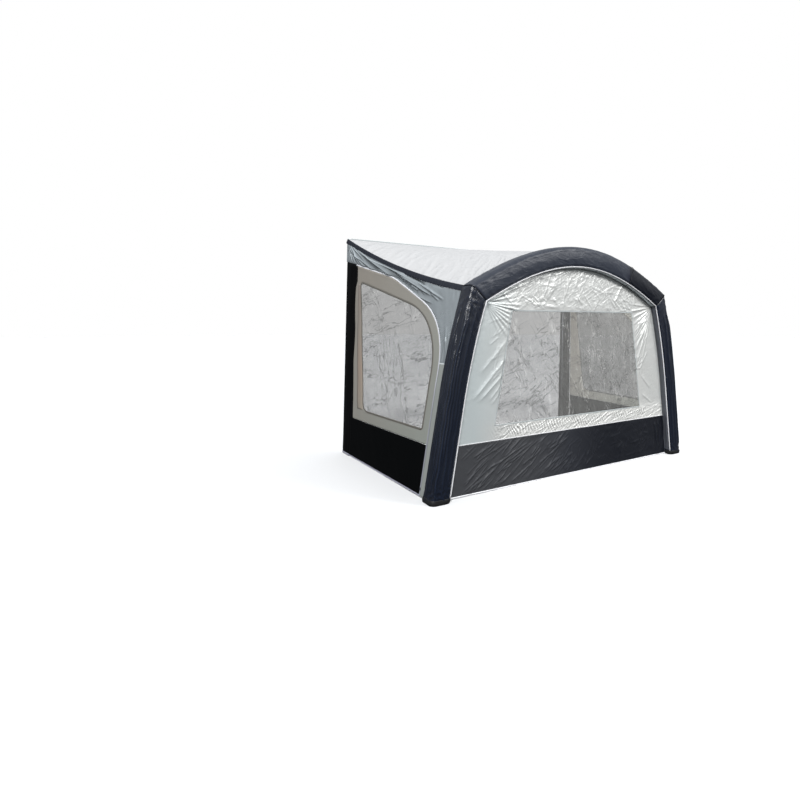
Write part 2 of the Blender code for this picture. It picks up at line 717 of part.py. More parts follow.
def build_roof():
    count = CROWN_STATIONS
    across = [2 * k / count - 1 for k in range(count + 1)]
    rim = [Vector((u, 0.0)) for u in across] + [Vector((u, 1.0)) for u in reversed(across)]
    cloth("roof", rim, roof_point, CLOTH, "silver cloth", grid=2 / count)


def build_rail_strip():
    """A flat strip behind the roof's rear edge, with the bead that slides into the awning rail."""
    top = RAIL_HEIGHT + CLOTH
    half = side_point(ROOF_START, top, BAND_INSIDE).x - FIT
    centre = Vector((REAR_Y - STRIP_THICKNESS / 2, top + BEAD_RADIUS))
    corners = [(REAR_Y, RAIL_HEIGHT - STRIP_DROP), (REAR_Y, top)]
    for k in range(BEAD_STEPS + 1):
        turn = BEAD_FROM + (BEAD_TO - BEAD_FROM) * k / BEAD_STEPS
        corners.append((centre.x + BEAD_RADIUS * math.cos(turn), centre.y + BEAD_RADIUS * math.sin(turn)))
    corners += [(REAR_Y - STRIP_THICKNESS, top), (REAR_Y - STRIP_THICKNESS, RAIL_HEIGHT - STRIP_DROP)]
    cloth("rail_strip", corners, lambda y, z, along: Vector((half * (2 * along - 1), min(y, REAR_Y), z)),
          1.0, "grey tape", grid=10.0)


def build_zip_slider(name, side):
    """A slider on the straight front run of the door's zip, and its pull tab."""
    place = wall(side)
    middle = DOOR_FRONT + FIT + ZIP_WIDTH / 2
    out = (CLOTH - ZIP_THICKNESS) / 2 - FIT
    slider = plate(middle, SLIDER_WIDTH, SLIDER_FOOT, SLIDER_FOOT + SLIDER_LENGTH, SLIDER_CORNER)
    cloth("zip_slider_" + name, slider, place, SLIDER_THICKNESS, "zip metal", start=out - SLIDER_THICKNESS)
    top = SLIDER_FOOT + SLIDER_LENGTH - PULL_HANG
    pull = plate(middle, PULL_WIDTH, top - PULL_LENGTH, top, PULL_CORNER)
    cloth("zip_pull_" + name, pull, place, PULL_THICKNESS, "zip metal",
          start=out - SLIDER_THICKNESS - FIT - PULL_THICKNESS)


def plate(middle, width, low, high, corner):
    """Outline of an upright plate with rounded corners."""
    left, right = middle - width / 2, middle + width / 2
    return rounded([(left, low, corner), (right, low, corner), (right, high, corner), (left, high, corner)],
                   step=COARSE_STEP)


def hollow(radius, start, end):
    """Profile of a plain tube."""
    bore = radius - POLE_WALL
    return [(bore, start), (radius, start), (radius, end), (bore, end)]


def pole_point(z, side):
    """On the axis of a rear pole, at the inner face of its column."""
    return side_point(COLUMN_RUN / 2, z, COLUMN_PAD + POLE_STANDOFF + POLE_FOOT_RADIUS, side)


def build_rear_pole(name, side):
    """A telescopic upright at the column: foot, lower and upper tube, clamp and cam lever."""
    start, end = pole_point(POLE_START, side), pole_point(RAIL_HEIGHT, side)
    spigot = POLE_RADIUS - POLE_WALL - FIT
    socket = POLE_RADIUS + FIT
    bore = spigot - POLE_WALL
    under = POLE_TOP - POLE_WALL
    low = POLE_SPLIT - CLAMP_LENGTH
    high = POLE_SPLIT + CLAMP_LIP
    turned("pole_foot_" + name, [(0.0, 0.0), (POLE_FOOT_RADIUS, 0.0), (POLE_FOOT_RADIUS, POLE_FOOT_HEIGHT),
                                 (socket, POLE_FOOT_HEIGHT), (socket, POLE_FOOT_FLOOR),
                                 (0.0, POLE_FOOT_FLOOR)], start, end, "black plastic")
    turned("pole_lower_" + name, hollow(POLE_RADIUS, POLE_FOOT_FLOOR + FIT, POLE_SPLIT), start, end, "steel")
    turned("pole_upper_" + name, [(bore, POLE_UPPER_START), (spigot, POLE_UPPER_START),
                                  (spigot, POLE_TOP - spigot), (spigot / 2, POLE_TOP), (0.0, POLE_TOP),
                                  (0.0, under), (spigot / 2 - POLE_WALL, under),
                                  (bore, POLE_TOP - spigot)], start, end, "steel")
    turned("pole_clamp_" + name, [(socket, low), (POLE_FOOT_RADIUS, low), (POLE_FOOT_RADIUS, high),
                                  (spigot + FIT, high), (spigot + FIT, POLE_SPLIT + FIT),
                                  (socket, POLE_SPLIT + FIT)], start, end, "black plastic")
    axis = (end - start).normalized()
    into = (Vector((-side, 0, 0)) - axis * axis.dot(Vector((-side, 0, 0)))).normalized()
    across = axis.cross(into)
    near = POLE_FOOT_RADIUS + FIT
    lever = rounded([(near, low, 0), (near + LEVER_TIP, low, LEVER_CORNER),
                     (near + LEVER_THICKNESS, high, LEVER_CORNER), (near, high, 0)], step=COARSE_STEP)
    cloth("clamp_lever_" + name, lever,
          lambda out, along, wide: start + axis * along + into * out + across * wide,
          LEVER_WIDTH, "black plastic", start=-LEVER_WIDTH / 2, grid=1.0)


def roof_pole_ends(side):
    """Centres of the two socket faces of a roof pole, at the rail strip and at the crown."""
    u = side * ROOF_POLE_SHARE
    rear, front = roof_point(u, 0.0), roof_point(u, 1.0)
    sag = 0.0
    for k in range(1, FACETS):
        over = roof_point(u, k / FACETS)
        share = (rear.y - over.y) / (rear.y - front.y)
        sag = max(sag, rear.lerp(front, share).z - over.z)
    drop = Vector((0, 0, CLOTH + SOCKET_RADIUS + sag + ROOF_POLE_DROP))
    rear -= drop
    front -= drop
    way = (front - rear).normalized()
    slack = SOCKET_RADIUS * math.hypot(way.x, way.z)
    front.y = beam_y(BEAM_DEPTH + FIT, front.z)
    lean = SOCKET_RADIUS * BEAM_LEAN
    return rear + way * (slack + FIT), front - way * (slack + lean + FIT)


def build_roof_pole(name, side):
    """A telescopic pole under the roof, between the rail strip and the crown."""
    start, end = roof_pole_ends(side)
    length = (end - start).length
    bore = POLE_RADIUS + FIT
    spigot = POLE_RADIUS - POLE_WALL - FIT
    turned("rail_socket_" + name, [(0.0, 0.0), (SOCKET_RADIUS, 0.0), (SOCKET_RADIUS, SOCKET_DEPTH),
                                   (bore, SOCKET_DEPTH), (bore, SOCKET_FLOOR), (0.0, SOCKET_FLOOR)],
           start, end, "black plastic")
    turned("beam_socket_" + name, [(0.0, 0.0), (SOCKET_RADIUS, 0.0), (SOCKET_RADIUS, SOCKET_DEPTH),
                                   (spigot + FIT, SOCKET_DEPTH), (spigot + FIT, SOCKET_FLOOR),
                                   (0.0, SOCKET_FLOOR)], end, start, "black plastic")
    turned("roof_pole_outer_" + name,
           hollow(POLE_RADIUS, SOCKET_FLOOR + FIT, ROOF_TUBE_SHARE * length), start, end, "steel")
    lap = (ROOF_TUBE_SHARE - ROOF_TUBE_LAP) * length
    turned("roof_pole_inner_" + name, hollow(spigot, lap, length - SOCKET_FLOOR - FIT), start, end, "steel")


def build_peg_ring(name, side):
    """A ring for a ground peg, at the inner front corner of a foot."""
    bpy.ops.mesh.primitive_torus_add(major_radius=PEG_RING, minor_radius=PEG_CORD, major_segments=14,
                                     minor_segments=6)
    ring = bpy.context.object
    ring.name = "peg_ring_" + name
    x = inner_half(0) - PAD_WALL - 2 * FIT - PEG_RING - PEG_CORD
    ring.location = (side * x, beam_y(FRONT_CORNER, 0) - PEG_CORD, PEG_CORD + FIT)
    ring.data.materials.append(FINISH["white tape"])
    for owner in list(ring.users_collection):
        owner.objects.unlink(ring)
    CANOPY.objects.link(ring)


def valve_cutter(name):
    bpy.ops.mesh.primitive_cylinder_add(radius=VALVE_NECK + FIT, depth=VALVE_CUT, vertices=24)
    cutter = bpy.context.object
    cutter.name = name
    place_along(cutter, valve_point(0.0), valve_point(1.0))
    return cutter


def valve_point(back):
    """On the valve's axis, this far behind the rear face of the left leg."""
    inner, across = leg_frame(VALVE_HEIGHT)
    flat = inner + across / 2
    lean = math.hypot(1, BEAM_LEAN)
    y = beam_y(BEAM_DEPTH, flat.y) + back / lean
    return Vector((-flat.x, y, flat.y - BEAM_LEAN * back / lean))


fresh_scene()
CANOPY = collection("canopy")
CUTTERS = collection("cutters")
FINISH = {
    "navy cloth": material("navy cloth", (0.016, 0.021, 0.036), 0.5),
    "silver cloth": material("silver cloth", (0.60, 0.64, 0.64), 0.45),
    "grey cloth": material("grey cloth", (0.28, 0.27, 0.24), 0.7),
    "black cloth": material("black cloth", (0.004, 0.005, 0.005), 0.6),
    "charcoal cloth": material("charcoal cloth", (0.030, 0.031, 0.042), 0.6),
    "white tape": material("white tape", (0.85, 0.85, 0.86), 0.5),
    "grey tape": material("grey tape", (0.36, 0.35, 0.40), 0.6),
    "zip": material("zip", (0.42, 0.41, 0.48), 0.5),
    "clear film": material("clear film", (0.80, 0.80, 0.80), 0.1, alpha=0.25),
    "foam": material("foam", (0.10, 0.10, 0.10), 0.9),
    "black plastic": material("black plastic", (0.01, 0.01, 0.01), 0.5),
    "bladder": material("bladder", (0.55, 0.60, 0.65), 0.3),
    "steel": material("steel", (0.06, 0.06, 0.065), 0.45, 1.0),
    "zip metal": material("zip metal", (0.10, 0.10, 0.11), 0.4, 1.0),
}

build_beam()
build_bladder()
build_valve()
build_foot_pads()
build_front_wall()
build_piping()
for side_name, side_sign in SIDES:
    build_side_wall(side_name, side_sign)
    build_column(side_name, side_sign)
    build_door(side_name, side_sign)
    build_zip_slider(side_name, side_sign)
    build_rear_pole(side_name, side_sign)
    build_roof_pole(side_name, side_sign)
    build_peg_ring(side_name, side_sign)
build_roof()
build_rail_strip()
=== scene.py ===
"""Looks of the inflatable porch canopy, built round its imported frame.

Every sheet is a fine grid laid on the surface that its solid holds, with its folds in the mesh. Flat
coordinates are (x, z) on the front wall, (q, z) on a side wall with q forward from the caravan, and
(u, s) on the roof, all as in the part's own source.
"""
import math
import random

import bmesh
import bpy
from mathutils import Matrix, Vector, noise


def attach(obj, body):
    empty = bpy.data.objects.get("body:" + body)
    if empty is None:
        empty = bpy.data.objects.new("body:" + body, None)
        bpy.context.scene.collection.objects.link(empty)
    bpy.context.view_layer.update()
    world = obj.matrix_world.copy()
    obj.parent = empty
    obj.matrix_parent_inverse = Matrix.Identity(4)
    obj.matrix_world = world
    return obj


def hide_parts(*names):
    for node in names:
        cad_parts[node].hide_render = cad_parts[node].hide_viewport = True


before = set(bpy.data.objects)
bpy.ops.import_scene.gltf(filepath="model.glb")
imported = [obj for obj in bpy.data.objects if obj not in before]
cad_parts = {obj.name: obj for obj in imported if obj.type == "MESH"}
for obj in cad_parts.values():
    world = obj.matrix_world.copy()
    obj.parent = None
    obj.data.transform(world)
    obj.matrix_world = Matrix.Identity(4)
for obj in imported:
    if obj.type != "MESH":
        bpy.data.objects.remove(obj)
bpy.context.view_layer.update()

# Sizes of the part
RAIL_HALF = 1.625
RAIL_HEIGHT = 2.345
GROUND_HALF = 1.735
FRONT_REACH = 1.825
BEAM_LEAN = 0.05
BEAM_WIDTH = 0.19
BEAM_DEPTH = 0.15
FRONT_CORNER = 0.045
REAR_CORNER = 0.020
FOOT_HALF = 1.481
LEG_SPLAY = 0.192
LEG_STRAIGHT = 0.80
LEG_CURL = 0.10
SHOULDER_HEIGHT = 1.625
CROWN_HEIGHT = 1.953
CROWN_BLEND = 0.455
CLOTH = 0.002
FIT = 0.0003
WALL_INSET = 0.03
PAD_WALL = 0.004
PAD_FLOOR = 0.006
PAD_HEIGHT = 0.045
FRONT_RECESS = 0.058
SKIRT_TOP = 0.450
HEM_BOTTOM = 0.008
WINDOW_TOP = 1.563
WINDOW_TOP_HALF = 0.796
WINDOW_BOTTOM = 0.581
WINDOW_BOTTOM_HALF = 0.981
PIPING_RADIUS = 0.005
COLUMN_RUN = 0.180
COLUMN_PAD = 0.055
COLUMN_CORNER = 0.015
COLUMN_SLOPE = 0.045
HINGE_GAP = 0.002
DOOR_REAR_TOP = 2.053
DOOR_KNEE = (0.780, 1.884)
DOOR_KNEE_RADIUS = 0.50
DOOR_FRONT = 1.580
DOOR_SHOULDER = 1.456
DOOR_SHOULDER_RADIUS = 0.65
DOOR_SKIRT_TOP = 0.440
DOOR_WINDOW = ((0.270, 1.882, 0.03), (1.515, 1.499, 0.62), (1.495, 0.552, 0.03), (0.452, 0.552, 0.10))
ZIP_WIDTH = 0.011
ZIP_GAP = 0.0009
SPLIT_HEIGHT = 1.12
BAND_HALF = 0.022
BAND_THICKNESS = 0.007
BAND_PROUD = 0.003
BAND_FRONT = 1.7385
ROOF_SAG = 0.064
SAG_POWER = 4
ROOF_INSET = 0.022
CROWN_REACH = 0.99
STRIP_THICKNESS = 0.004
STRIP_DROP = 0.030
BEAD_RADIUS = 0.0035
POLE_SHARE = 0.45

REAR_Y = (FRONT_REACH + FIT + PAD_WALL) / 2
FRONT_Y = REAR_Y - FRONT_REACH
SIDE_RUN = FRONT_REACH - BEAM_DEPTH
BAND_REAR = RAIL_HEIGHT + FIT - BAND_HALF
BAND_INSIDE = BAND_THICKNESS - BAND_PROUD + FIT
ROOF_START = STRIP_THICKNESS + FIT
SIDES = (("left", -1), ("right", 1))

# Mesh pitch of the cloth
PITCH = 0.0115
SKIN = 0.0012           # thickness of a sheet of cloth in the looks


# Outlines

def rounded(corners, closed=True, step=math.radians(6)):
    """Straight runs between corners (a, b, radius), with an arc at each corner that has a radius."""
    points = []
    count = len(corners)
    for i, (a, b, radius) in enumerate(corners):
        here = Vector((a, b))
        at_end = not closed and i in (0, count - 1)
        if radius <= 0 or at_end:
            points.append(here)
            continue
        back = (Vector(corners[i - 1][:2]) - here).normalized()
        ahead = (Vector(corners[(i + 1) % count][:2]) - here).normalized()
        half = back.angle(ahead) / 2
        centre = here + (back + ahead).normalized() * (radius / math.sin(half))
        first = here + back * (radius / math.tan(half))
        spoke = first - centre
        turn = math.pi - 2 * half
        if back.cross(ahead) > 0:
            turn = -turn
        steps = max(1, round(abs(turn) / step))
        for k in range(steps + 1):
            points.append(centre + Matrix.Rotation(turn * k / steps, 2) @ spoke)
    return points


def shifted(path, distance):
    """An open path moved to its left by a distance."""
    moved = []
    for i, here in enumerate(path):
        before = (here - path[i - 1]).normalized() if i else None
        after = (path[i + 1] - here).normalized() if i + 1 < len(path) else None
        before = before or after
        after = after or before
        way = (before + after).normalized()
        moved.append(here + Vector((-way.y, way.x)) * (distance / way.dot(after)))
    return moved


def run(*legs):
    """A curve that gives each of these polylines an equal share of its 0 to 1, by length."""
    measured = []
    for leg in legs:
        points = [Vector(point) for point in leg]
        marks = [0.0]
        for before, after in zip(points, points[1:]):
            marks.append(marks[-1] + (after - before).length)
        measured.append((points, marks))

    def at(t):
        place = min(max(t, 0.0), 1.0) * len(measured)
        index = min(int(place), len(measured) - 1)
        points, marks = measured[index]
        want = (place - index) * marks[-1]
        k = 1
        while k < len(marks) - 1 and marks[k] < want:
            k += 1
        span = marks[k] - marks[k - 1]
        return points[k - 1].lerp(points[k], (want - marks[k - 1]) / span if span else 0.0)
    return at


def length_of(points):
    return sum((after - before).length for before, after in zip(points, points[1:]))


def kept(curve):
    """A curve that remembers the places it has worked out."""
    known = {}

    def at(t):
        if t not in known:
            known[t] = curve(t)
        return known[t]
    return at


# Surfaces, as in the part

def beam_y(depth, z):
    return FRONT_Y + depth + BEAM_LEAN * z


def inner_half(z):
    return FOOT_HALF - LEG_SPLAY * z - LEG_CURL * max(0.0, z - LEG_STRAIGHT) ** 2


def arch(u):
    rise = CROWN_HEIGHT - SHOULDER_HEIGHT
    share = CROWN_BLEND * math.cos(u * math.pi / 2) + (1 - CROWN_BLEND) * (1 - u * u)
    return Vector((inner_half(SHOULDER_HEIGHT) * u, SHOULDER_HEIGHT + rise * share))


def arch_normal(u, step=0.005):
    way = (arch(u + step) - arch(u - step)).normalized()
    return Vector((-way.y, way.x))


def mitre():
    """From the inner shoulder to the outer one, on the right side."""
    step = 0.01
    way = Vector((inner_half(SHOULDER_HEIGHT) - inner_half(SHOULDER_HEIGHT - step), step)).normalized()
    leg_normal = Vector((way.y, -way.x))
    middle = (leg_normal + arch_normal(1.0)).normalized()
    return middle * (BEAM_WIDTH / middle.dot(leg_normal))


MITRE = mitre()
MITRE_RUN = 0.1         # share of the crown's half in which its sections turn to the mitre


def leg_frame(height):
    """Inner point and cross vector of a right leg's section, as (x, z)."""
    share = height / SHOULDER_HEIGHT
    return Vector((inner_half(height), height)), Vector((BEAM_WIDTH, 0.0)).lerp(MITRE, share)


def crown_frame(u):
    share = max(0.0, (abs(u) - 1 + MITRE_RUN) / MITRE_RUN)
    if not share:
        return arch(u), arch_normal(u) * BEAM_WIDTH
    edge = math.copysign(1 - MITRE_RUN, u)
    end = Vector((math.copysign(MITRE.x, u), MITRE.y))
    return arch(u), (arch_normal(edge) * BEAM_WIDTH).lerp(end, share)


def rear_half(z):
    return GROUND_HALF + (RAIL_HALF - GROUND_HALF) * z / RAIL_HEIGHT


def side_point(q, z, inward=0.0, side=1):
    """A point of a side wall, q forward from the caravan, with its depth into the canopy."""
    share = q / SIDE_RUN
    up = z / (SHOULDER_HEIGHT + MITRE.y)
    straight = FOOT_HALF - LEG_SPLAY * up * SHOULDER_HEIGHT + (1 - up) * BEAM_WIDTH + up * MITRE.x
    curl = LEG_CURL * max(0.0, up * SHOULDER_HEIGHT - LEG_STRAIGHT) ** 2
    x = (1 - share) * rear_half(z) + share * (straight - WALL_INSET) - share * share * curl
    y = REAR_Y - share * (REAR_Y - beam_y(BEAM_DEPTH, z))
    return Vector((side * (x - inward), y, z))


def wall(side):
    return lambda flat, inward: side_point(flat.x, flat.y, inward, side)


def front_point(flat, inward):
    return Vector((flat.x, beam_y(FRONT_RECESS + inward, flat.y), flat.y))


def band_height(q, offset=0.0):
    share = q / SIDE_RUN
    return BAND_REAR + (BAND_FRONT - BAND_REAR) * share - 4 * ROOF_SAG * share * (1 - share) + offset


def crown_edge(u):
    inner, across = crown_frame(u)
    return inner + across.normalized() * (across.length - ROOF_INSET)


def roof_edge(s):
    q = ROOF_START + (SIDE_RUN - ROOF_START) * s
    return side_point(q, band_height(q, BAND_HALF - FIT), BAND_INSIDE)


ROOF_CORNER = crown_edge(CROWN_REACH)
ROOF_REAR = roof_edge(0.0)


def roof_point(flat, down=0.0):
    """A point of the roof, u across from -1 to 1 and s forward from 0 to 1."""
    u, s = flat
    front = crown_edge(u * CROWN_REACH)
    edge = roof_edge(s)
    weight = u ** SAG_POWER
    x = (1 - s) * u * ROOF_REAR.x + s * front.x + u * (edge.x - (1 - s) * ROOF_REAR.x - s * ROOF_CORNER.x)
    z = (1 - s) * ROOF_REAR.z + s * front.y + weight * (edge.z - (1 - s) * ROOF_REAR.z - s * ROOF_CORNER.y)
    rear = REAR_Y - ROOF_START
    y = rear - s * (rear - beam_y(BEAM_DEPTH + FIT, z))
    return Vector((x, y, z - down))


def door_path(bottom=HEM_BOTTOM):
    """The door's zipped edge, from its rear top corner forward and down."""
    corners = ((COLUMN_RUN + HINGE_GAP, DOOR_REAR_TOP, 0), (*DOOR_KNEE, DOOR_KNEE_RADIUS),
               (DOOR_FRONT, DOOR_SHOULDER, DOOR_SHOULDER_RADIUS), (DOOR_FRONT, bottom, 0))
    return rounded(corners, closed=False)


def column_top(q):
    return DOOR_REAR_TOP + ZIP_WIDTH + COLUMN_SLOPE * (1 - q / COLUMN_RUN)


# Materials

def add(tree, kind, values=None, **settings):
    """A node with its settings, and its inputs from numbers, colours or other nodes' outputs."""
    made = tree.nodes.new("ShaderNode" + kind)
    for key, value in settings.items():
        setattr(made, key, value)
    for key, value in (values or {}).items():
        if isinstance(value, bpy.types.NodeSocket):
            tree.links.new(value, made.inputs[key])
        else:
            made.inputs[key].default_value = value
    return made


def maths(tree, operation, first, second=0.0, third=0.0, clamp=False):
    values = {0: first, 1: second, 2: third}
    return add(tree, "Math", values, operation=operation, use_clamp=clamp).outputs[0]


def spread(tree, value, low, high, start=0.0, end=1.0, kind="LINEAR"):
    """Where a value lies between low and high, as a number from start to end."""
    values = {"Value": value, "From Min": low, "From Max": high, "To Min": start, "To Max": end}
    return add(tree, "MapRange", values, interpolation_type=kind).outputs[0]


def noisy(tree, place, scale, detail, output="Fac"):
    return add(tree, "TexNoise", {"Vector": place, "Scale": scale, "Detail": detail}).outputs[output]


def scaled(tree, vector, factor):
    return add(tree, "VectorMath", {0: vector, 3: factor}, operation="SCALE").outputs[0]


def turned(tree, vector, angle):
    return add(tree, "VectorRotate", {"Vector": vector, "Angle": angle}, rotation_type="Z_AXIS").outputs[0]


def axes(tree, vector):
    return add(tree, "SeparateXYZ", {0: vector}).outputs


def spot_on_object(tree):
    return add(tree, "TexCoord").outputs["Object"]


def off_middle(tree, level):
    """How far a noise is from its middle: 0 along thin winding lines."""
    return maths(tree, "ABSOLUTE", maths(tree, "SUBTRACT", level, 0.5))


def bumped(tree, height, distance, strength=1.0, **under):
    values = {"Height": height, "Distance": distance, "Strength": strength, **under}
    return add(tree, "Bump", values).outputs[0]


def mixed(tree, share, first, second):
    return add(tree, "Mix", {"Factor": share, 6: first, 7: second}, data_type="RGBA").outputs[2]


def srgb(colour):
    """A colour as a screen shows it, 0 to 255, as the linear values that a shader takes."""
    return tuple(c / 12.92 if c <= 0.04045 else ((c + 0.055) / 1.055) ** 2.4
                 for c in (level / 255 for level in colour))


def ramp(tree, source, stops):
    """A colour ramp. Each stop has a place, and a grey or a screen colour."""
    made = add(tree, "ValToRGB", {"Fac": source})
    steps = made.color_ramp.elements
    while len(steps) < len(stops):
        steps.new(0.5)
    for step, (place, colour) in zip(steps, stops):
        step.position = place
        step.color = (*srgb(colour), 1) if isinstance(colour, tuple) else (colour, colour, colour, 1)
    return made.outputs["Color"]


def group(name, inputs, outputs):
    """An empty node group. An input's default tells its kind: a number, a colour, or None for a vector."""
    kinds = {float: "Float", tuple: "Color", type(None): "Vector"}
    tree = bpy.data.node_groups.new(name, "ShaderNodeTree")
    for label, default in {"Vector": None, **inputs}.items():
        kind = "NodeSocket" + kinds[type(default)]
        socket = tree.interface.new_socket(label, in_out="INPUT", socket_type=kind)
        if default is not None:
            socket.default_value = default
    for label in outputs:
        kind = "NodeSocket" + ("Color" if label == "Color" else "Float")
        tree.interface.new_socket(label, in_out="OUTPUT", socket_type=kind)
    return tree, tree.nodes.new("NodeGroupInput").outputs, tree.nodes.new("NodeGroupOutput").inputs


def drawn_out(tree, given):
    """The cloth's own place, turned and drawn out one way, at a level of the noise for each seed."""
    parts = axes(tree, turned(tree, given["Vector"], given["Turn"]))
    along = maths(tree, "DIVIDE", parts["X"], given["Stretch"])
    return add(tree, "CombineXYZ", {"X": along, "Y": parts["Y"], "Z": given["Seed"]}).outputs[0]


def build_weave_group():
    """Plain weave in the cloth's own metres: raised threads that pass over and under each other."""
    tree, given, put = group("plain_weave", {"Threads": 700.0}, ("Height",))
    parts = axes(tree, scaled(tree, given["Vector"], given["Threads"]))
    warp, weft = [maths(tree, "SINE", maths(tree, "MULTIPLY", parts[axis], math.pi)) for axis in "XY"]
    over = maths(tree, "MULTIPLY", warp, weft)
    tree.links.new(maths(tree, "MULTIPLY_ADD", over, 0.5, 0.5), put["Height"])
    return tree


def build_crease_group():
    """Creases that run one way, as in packed cloth: soft waves, and sharper ridges in patches."""
    tree, given, put = group("packing_creases", {"Turn": 0.0, "Scale": 14.0, "Stretch": 3.0, "Seed": 0.0,
                                                 "Warp": 0.10, "Gate": 0.47, "Wide": 0.035},
                             ("Height", "Lines"))
    flat = drawn_out(tree, given)
    shift = scaled(tree, noisy(tree, flat, 4.0, 2.0, "Color"), given["Warp"])
    place = add(tree, "VectorMath", {0: flat, 1: shift}, operation="ADD").outputs[0]
    soft = noisy(tree, place, given["Scale"], 3.0)
    other = noisy(tree, place, maths(tree, "MULTIPLY", given["Scale"], 1.7), 1.0)
    ridge = spread(tree, off_middle(tree, other), 0.0, given["Wide"], 1.0, 0.0, "SMOOTHSTEP")
    patches = noisy(tree, flat, maths(tree, "MULTIPLY", given["Scale"], 0.6), 1.0)
    line = maths(tree, "MULTIPLY", ridge, spread(tree, patches, given["Gate"], 0.60, kind="SMOOTHSTEP"))
    tree.links.new(maths(tree, "MULTIPLY_ADD", line, 0.30, soft), put["Height"])
    tree.links.new(line, put["Lines"])
    return tree


def build_crinkle_group():
    """A dense net of small sharp crinkles, as in thin coated cloth: ridges at three sizes."""
    tree, given, put = group("thin_crinkles", {"Turn": 0.0, "Scale": 22.0, "Stretch": 2.0, "Seed": 0.0,
                                               "Mask": 1.0}, ("Height",))
    place = drawn_out(tree, given)
    tilted = turned(tree, place, 1.1)
    ridges = []
    for spot, size, share in ((place, 1.0, 0.55), (tilted, 1.5, 0.45), (place, 2.6, 0.22)):
        level = noisy(tree, spot, maths(tree, "MULTIPLY", given["Scale"], size), 0.0)
        ridges.append(spread(tree, off_middle(tree, level), 0.0, 0.16, share, 0.0))
    total = maths(tree, "ADD", maths(tree, "ADD", ridges[0], ridges[1]), ridges[2])
    tree.links.new(maths(tree, "MULTIPLY", total, given["Mask"]), put["Height"])
    return tree


def build_tone_group():
    """Slow and fine changes of a colour, as on cloth that has been out in the weather."""
    tree, given, put = group("weathered_tone", {"Color": (0.5, 0.5, 0.5, 1), "Amount": 0.15}, ("Color",))
    slow = noisy(tree, given["Vector"], 2.3, 2.0)
    fine = noisy(tree, given["Vector"], 38.0, 4.0)
    both = maths(tree, "MULTIPLY_ADD", fine, 0.5, maths(tree, "MULTIPLY", slow, 0.5))
    level = maths(tree, "MULTIPLY_ADD", maths(tree, "SUBTRACT", both, 0.5), given["Amount"], 1.0)
    tree.links.new(scaled(tree, given["Color"], level), put["Color"])
    return tree


def build_stitch_group():
    """Two rows of stitches along a tape, whose UV is (metres along, metres across)."""
    tree, given, put = group("twin_stitch", {"Inset": 0.004, "Width": 0.022, "Pitch": 0.006}, ("Thread",))
    parts = axes(tree, given["Vector"])
    half = maths(tree, "MULTIPLY", given["Width"], 0.5)
    middle = maths(tree, "ABSOLUTE", maths(tree, "SUBTRACT", parts["Y"], half))
    row = maths(tree, "SUBTRACT", middle, maths(tree, "SUBTRACT", half, given["Inset"]))
    near = maths(tree, "LESS_THAN", maths(tree, "ABSOLUTE", row), 0.0007)
    dash = maths(tree, "FRACT", maths(tree, "DIVIDE", parts["X"], given["Pitch"]))
    tree.links.new(maths(tree, "MULTIPLY", near, maths(tree, "LESS_THAN", dash, 0.72)), put["Thread"])
    return tree


GROUPS = {"weave": build_weave_group(), "crease": build_crease_group(), "crinkle": build_crinkle_group(),
          "tone": build_tone_group(), "stitch": build_stitch_group()}


def placed(tree, name, values):
    return add(tree, "Group", values, node_tree=GROUPS[name]).outputs


def new_material(name, roughness, metallic=0.0, specular=0.5):
    made = bpy.data.materials.new(name)
    made.use_nodes = True
    shader = made.node_tree.nodes["Principled BSDF"]
    shader.inputs["Roughness"].default_value = roughness
    shader.inputs["Metallic"].default_value = metallic
    shader.inputs["Specular IOR Level"].default_value = specular
    return made, made.node_tree, shader.inputs


def fabric(name, colour, roughness, specular=0.5, metallic=0.0, threads=900.0, crease=0.0012, turn=0.0,
           scale=14.0, stretch=3.0, tone=0.16, seed=0.0, stitch=0.0, fine=None, zone=None, painted_fold_shading=1.5):
    """Woven and coated cloth. Its colour may be a function of the tree, and stitch is its tape's width.
    fine is the depth, scale, turn and stretch of small crinkles, and zone where they are. Its last argument
    is how much painted highlight goes on the crests of its folds and how much painted shade goes in their
    hollows."""
    made, tree, shader = new_material(name, roughness, metallic, specular)
    place = add(tree, "UVMap", uv_map="cloth").outputs[0]
    base = colour(tree) if callable(colour) else (*srgb(colour), 1)
    toned = placed(tree, "tone", {"Vector": place, "Color": base, "Amount": tone})["Color"]
    # Painted highlight and painted shade: the colour is made paler on the crests of the mesh folds and darker
    # in their hollows.
    crest = add(tree, "Attribute", attribute_name="crest").outputs["Fac"]
    level = maths(tree, "MINIMUM", maths(tree, "MAXIMUM", maths(tree, "MULTIPLY", crest, painted_fold_shading), -0.45), 0.6)
    toned = scaled(tree, toned, maths(tree, "ADD", level, 1.0))
    fold = placed(tree, "crease", {"Vector": place, "Turn": turn, "Scale": scale, "Stretch": stretch,
                                   "Seed": seed})["Height"]
    weave = placed(tree, "weave", {"Vector": place, "Threads": threads})["Height"]
    relief = bumped(tree, weave, 0.00025, 0.6, Normal=bumped(tree, fold, crease))
    if fine:
        depth, size, way, long = fine
        net = placed(tree, "crinkle", {"Vector": place, "Turn": way, "Scale": size, "Seed": seed,
                                       "Stretch": long, "Mask": zone(tree) if zone else 1.0})["Height"]
        relief = bumped(tree, net, depth, Normal=relief)
    if stitch:
        thread = placed(tree, "stitch", {"Vector": place, "Width": stitch})["Thread"]
        toned = mixed(tree, thread, toned, (*[c * 0.62 for c in base[:3]], 1))
        relief = bumped(tree, thread, 0.0008, Normal=relief)
    tree.links.new(toned, shader["Base Color"])
    tree.links.new(relief, shader["Normal"])
    tree.links.new(maths(tree, "MULTIPLY_ADD", fold, 0.16, roughness - 0.10), shader["Roughness"])
    return made


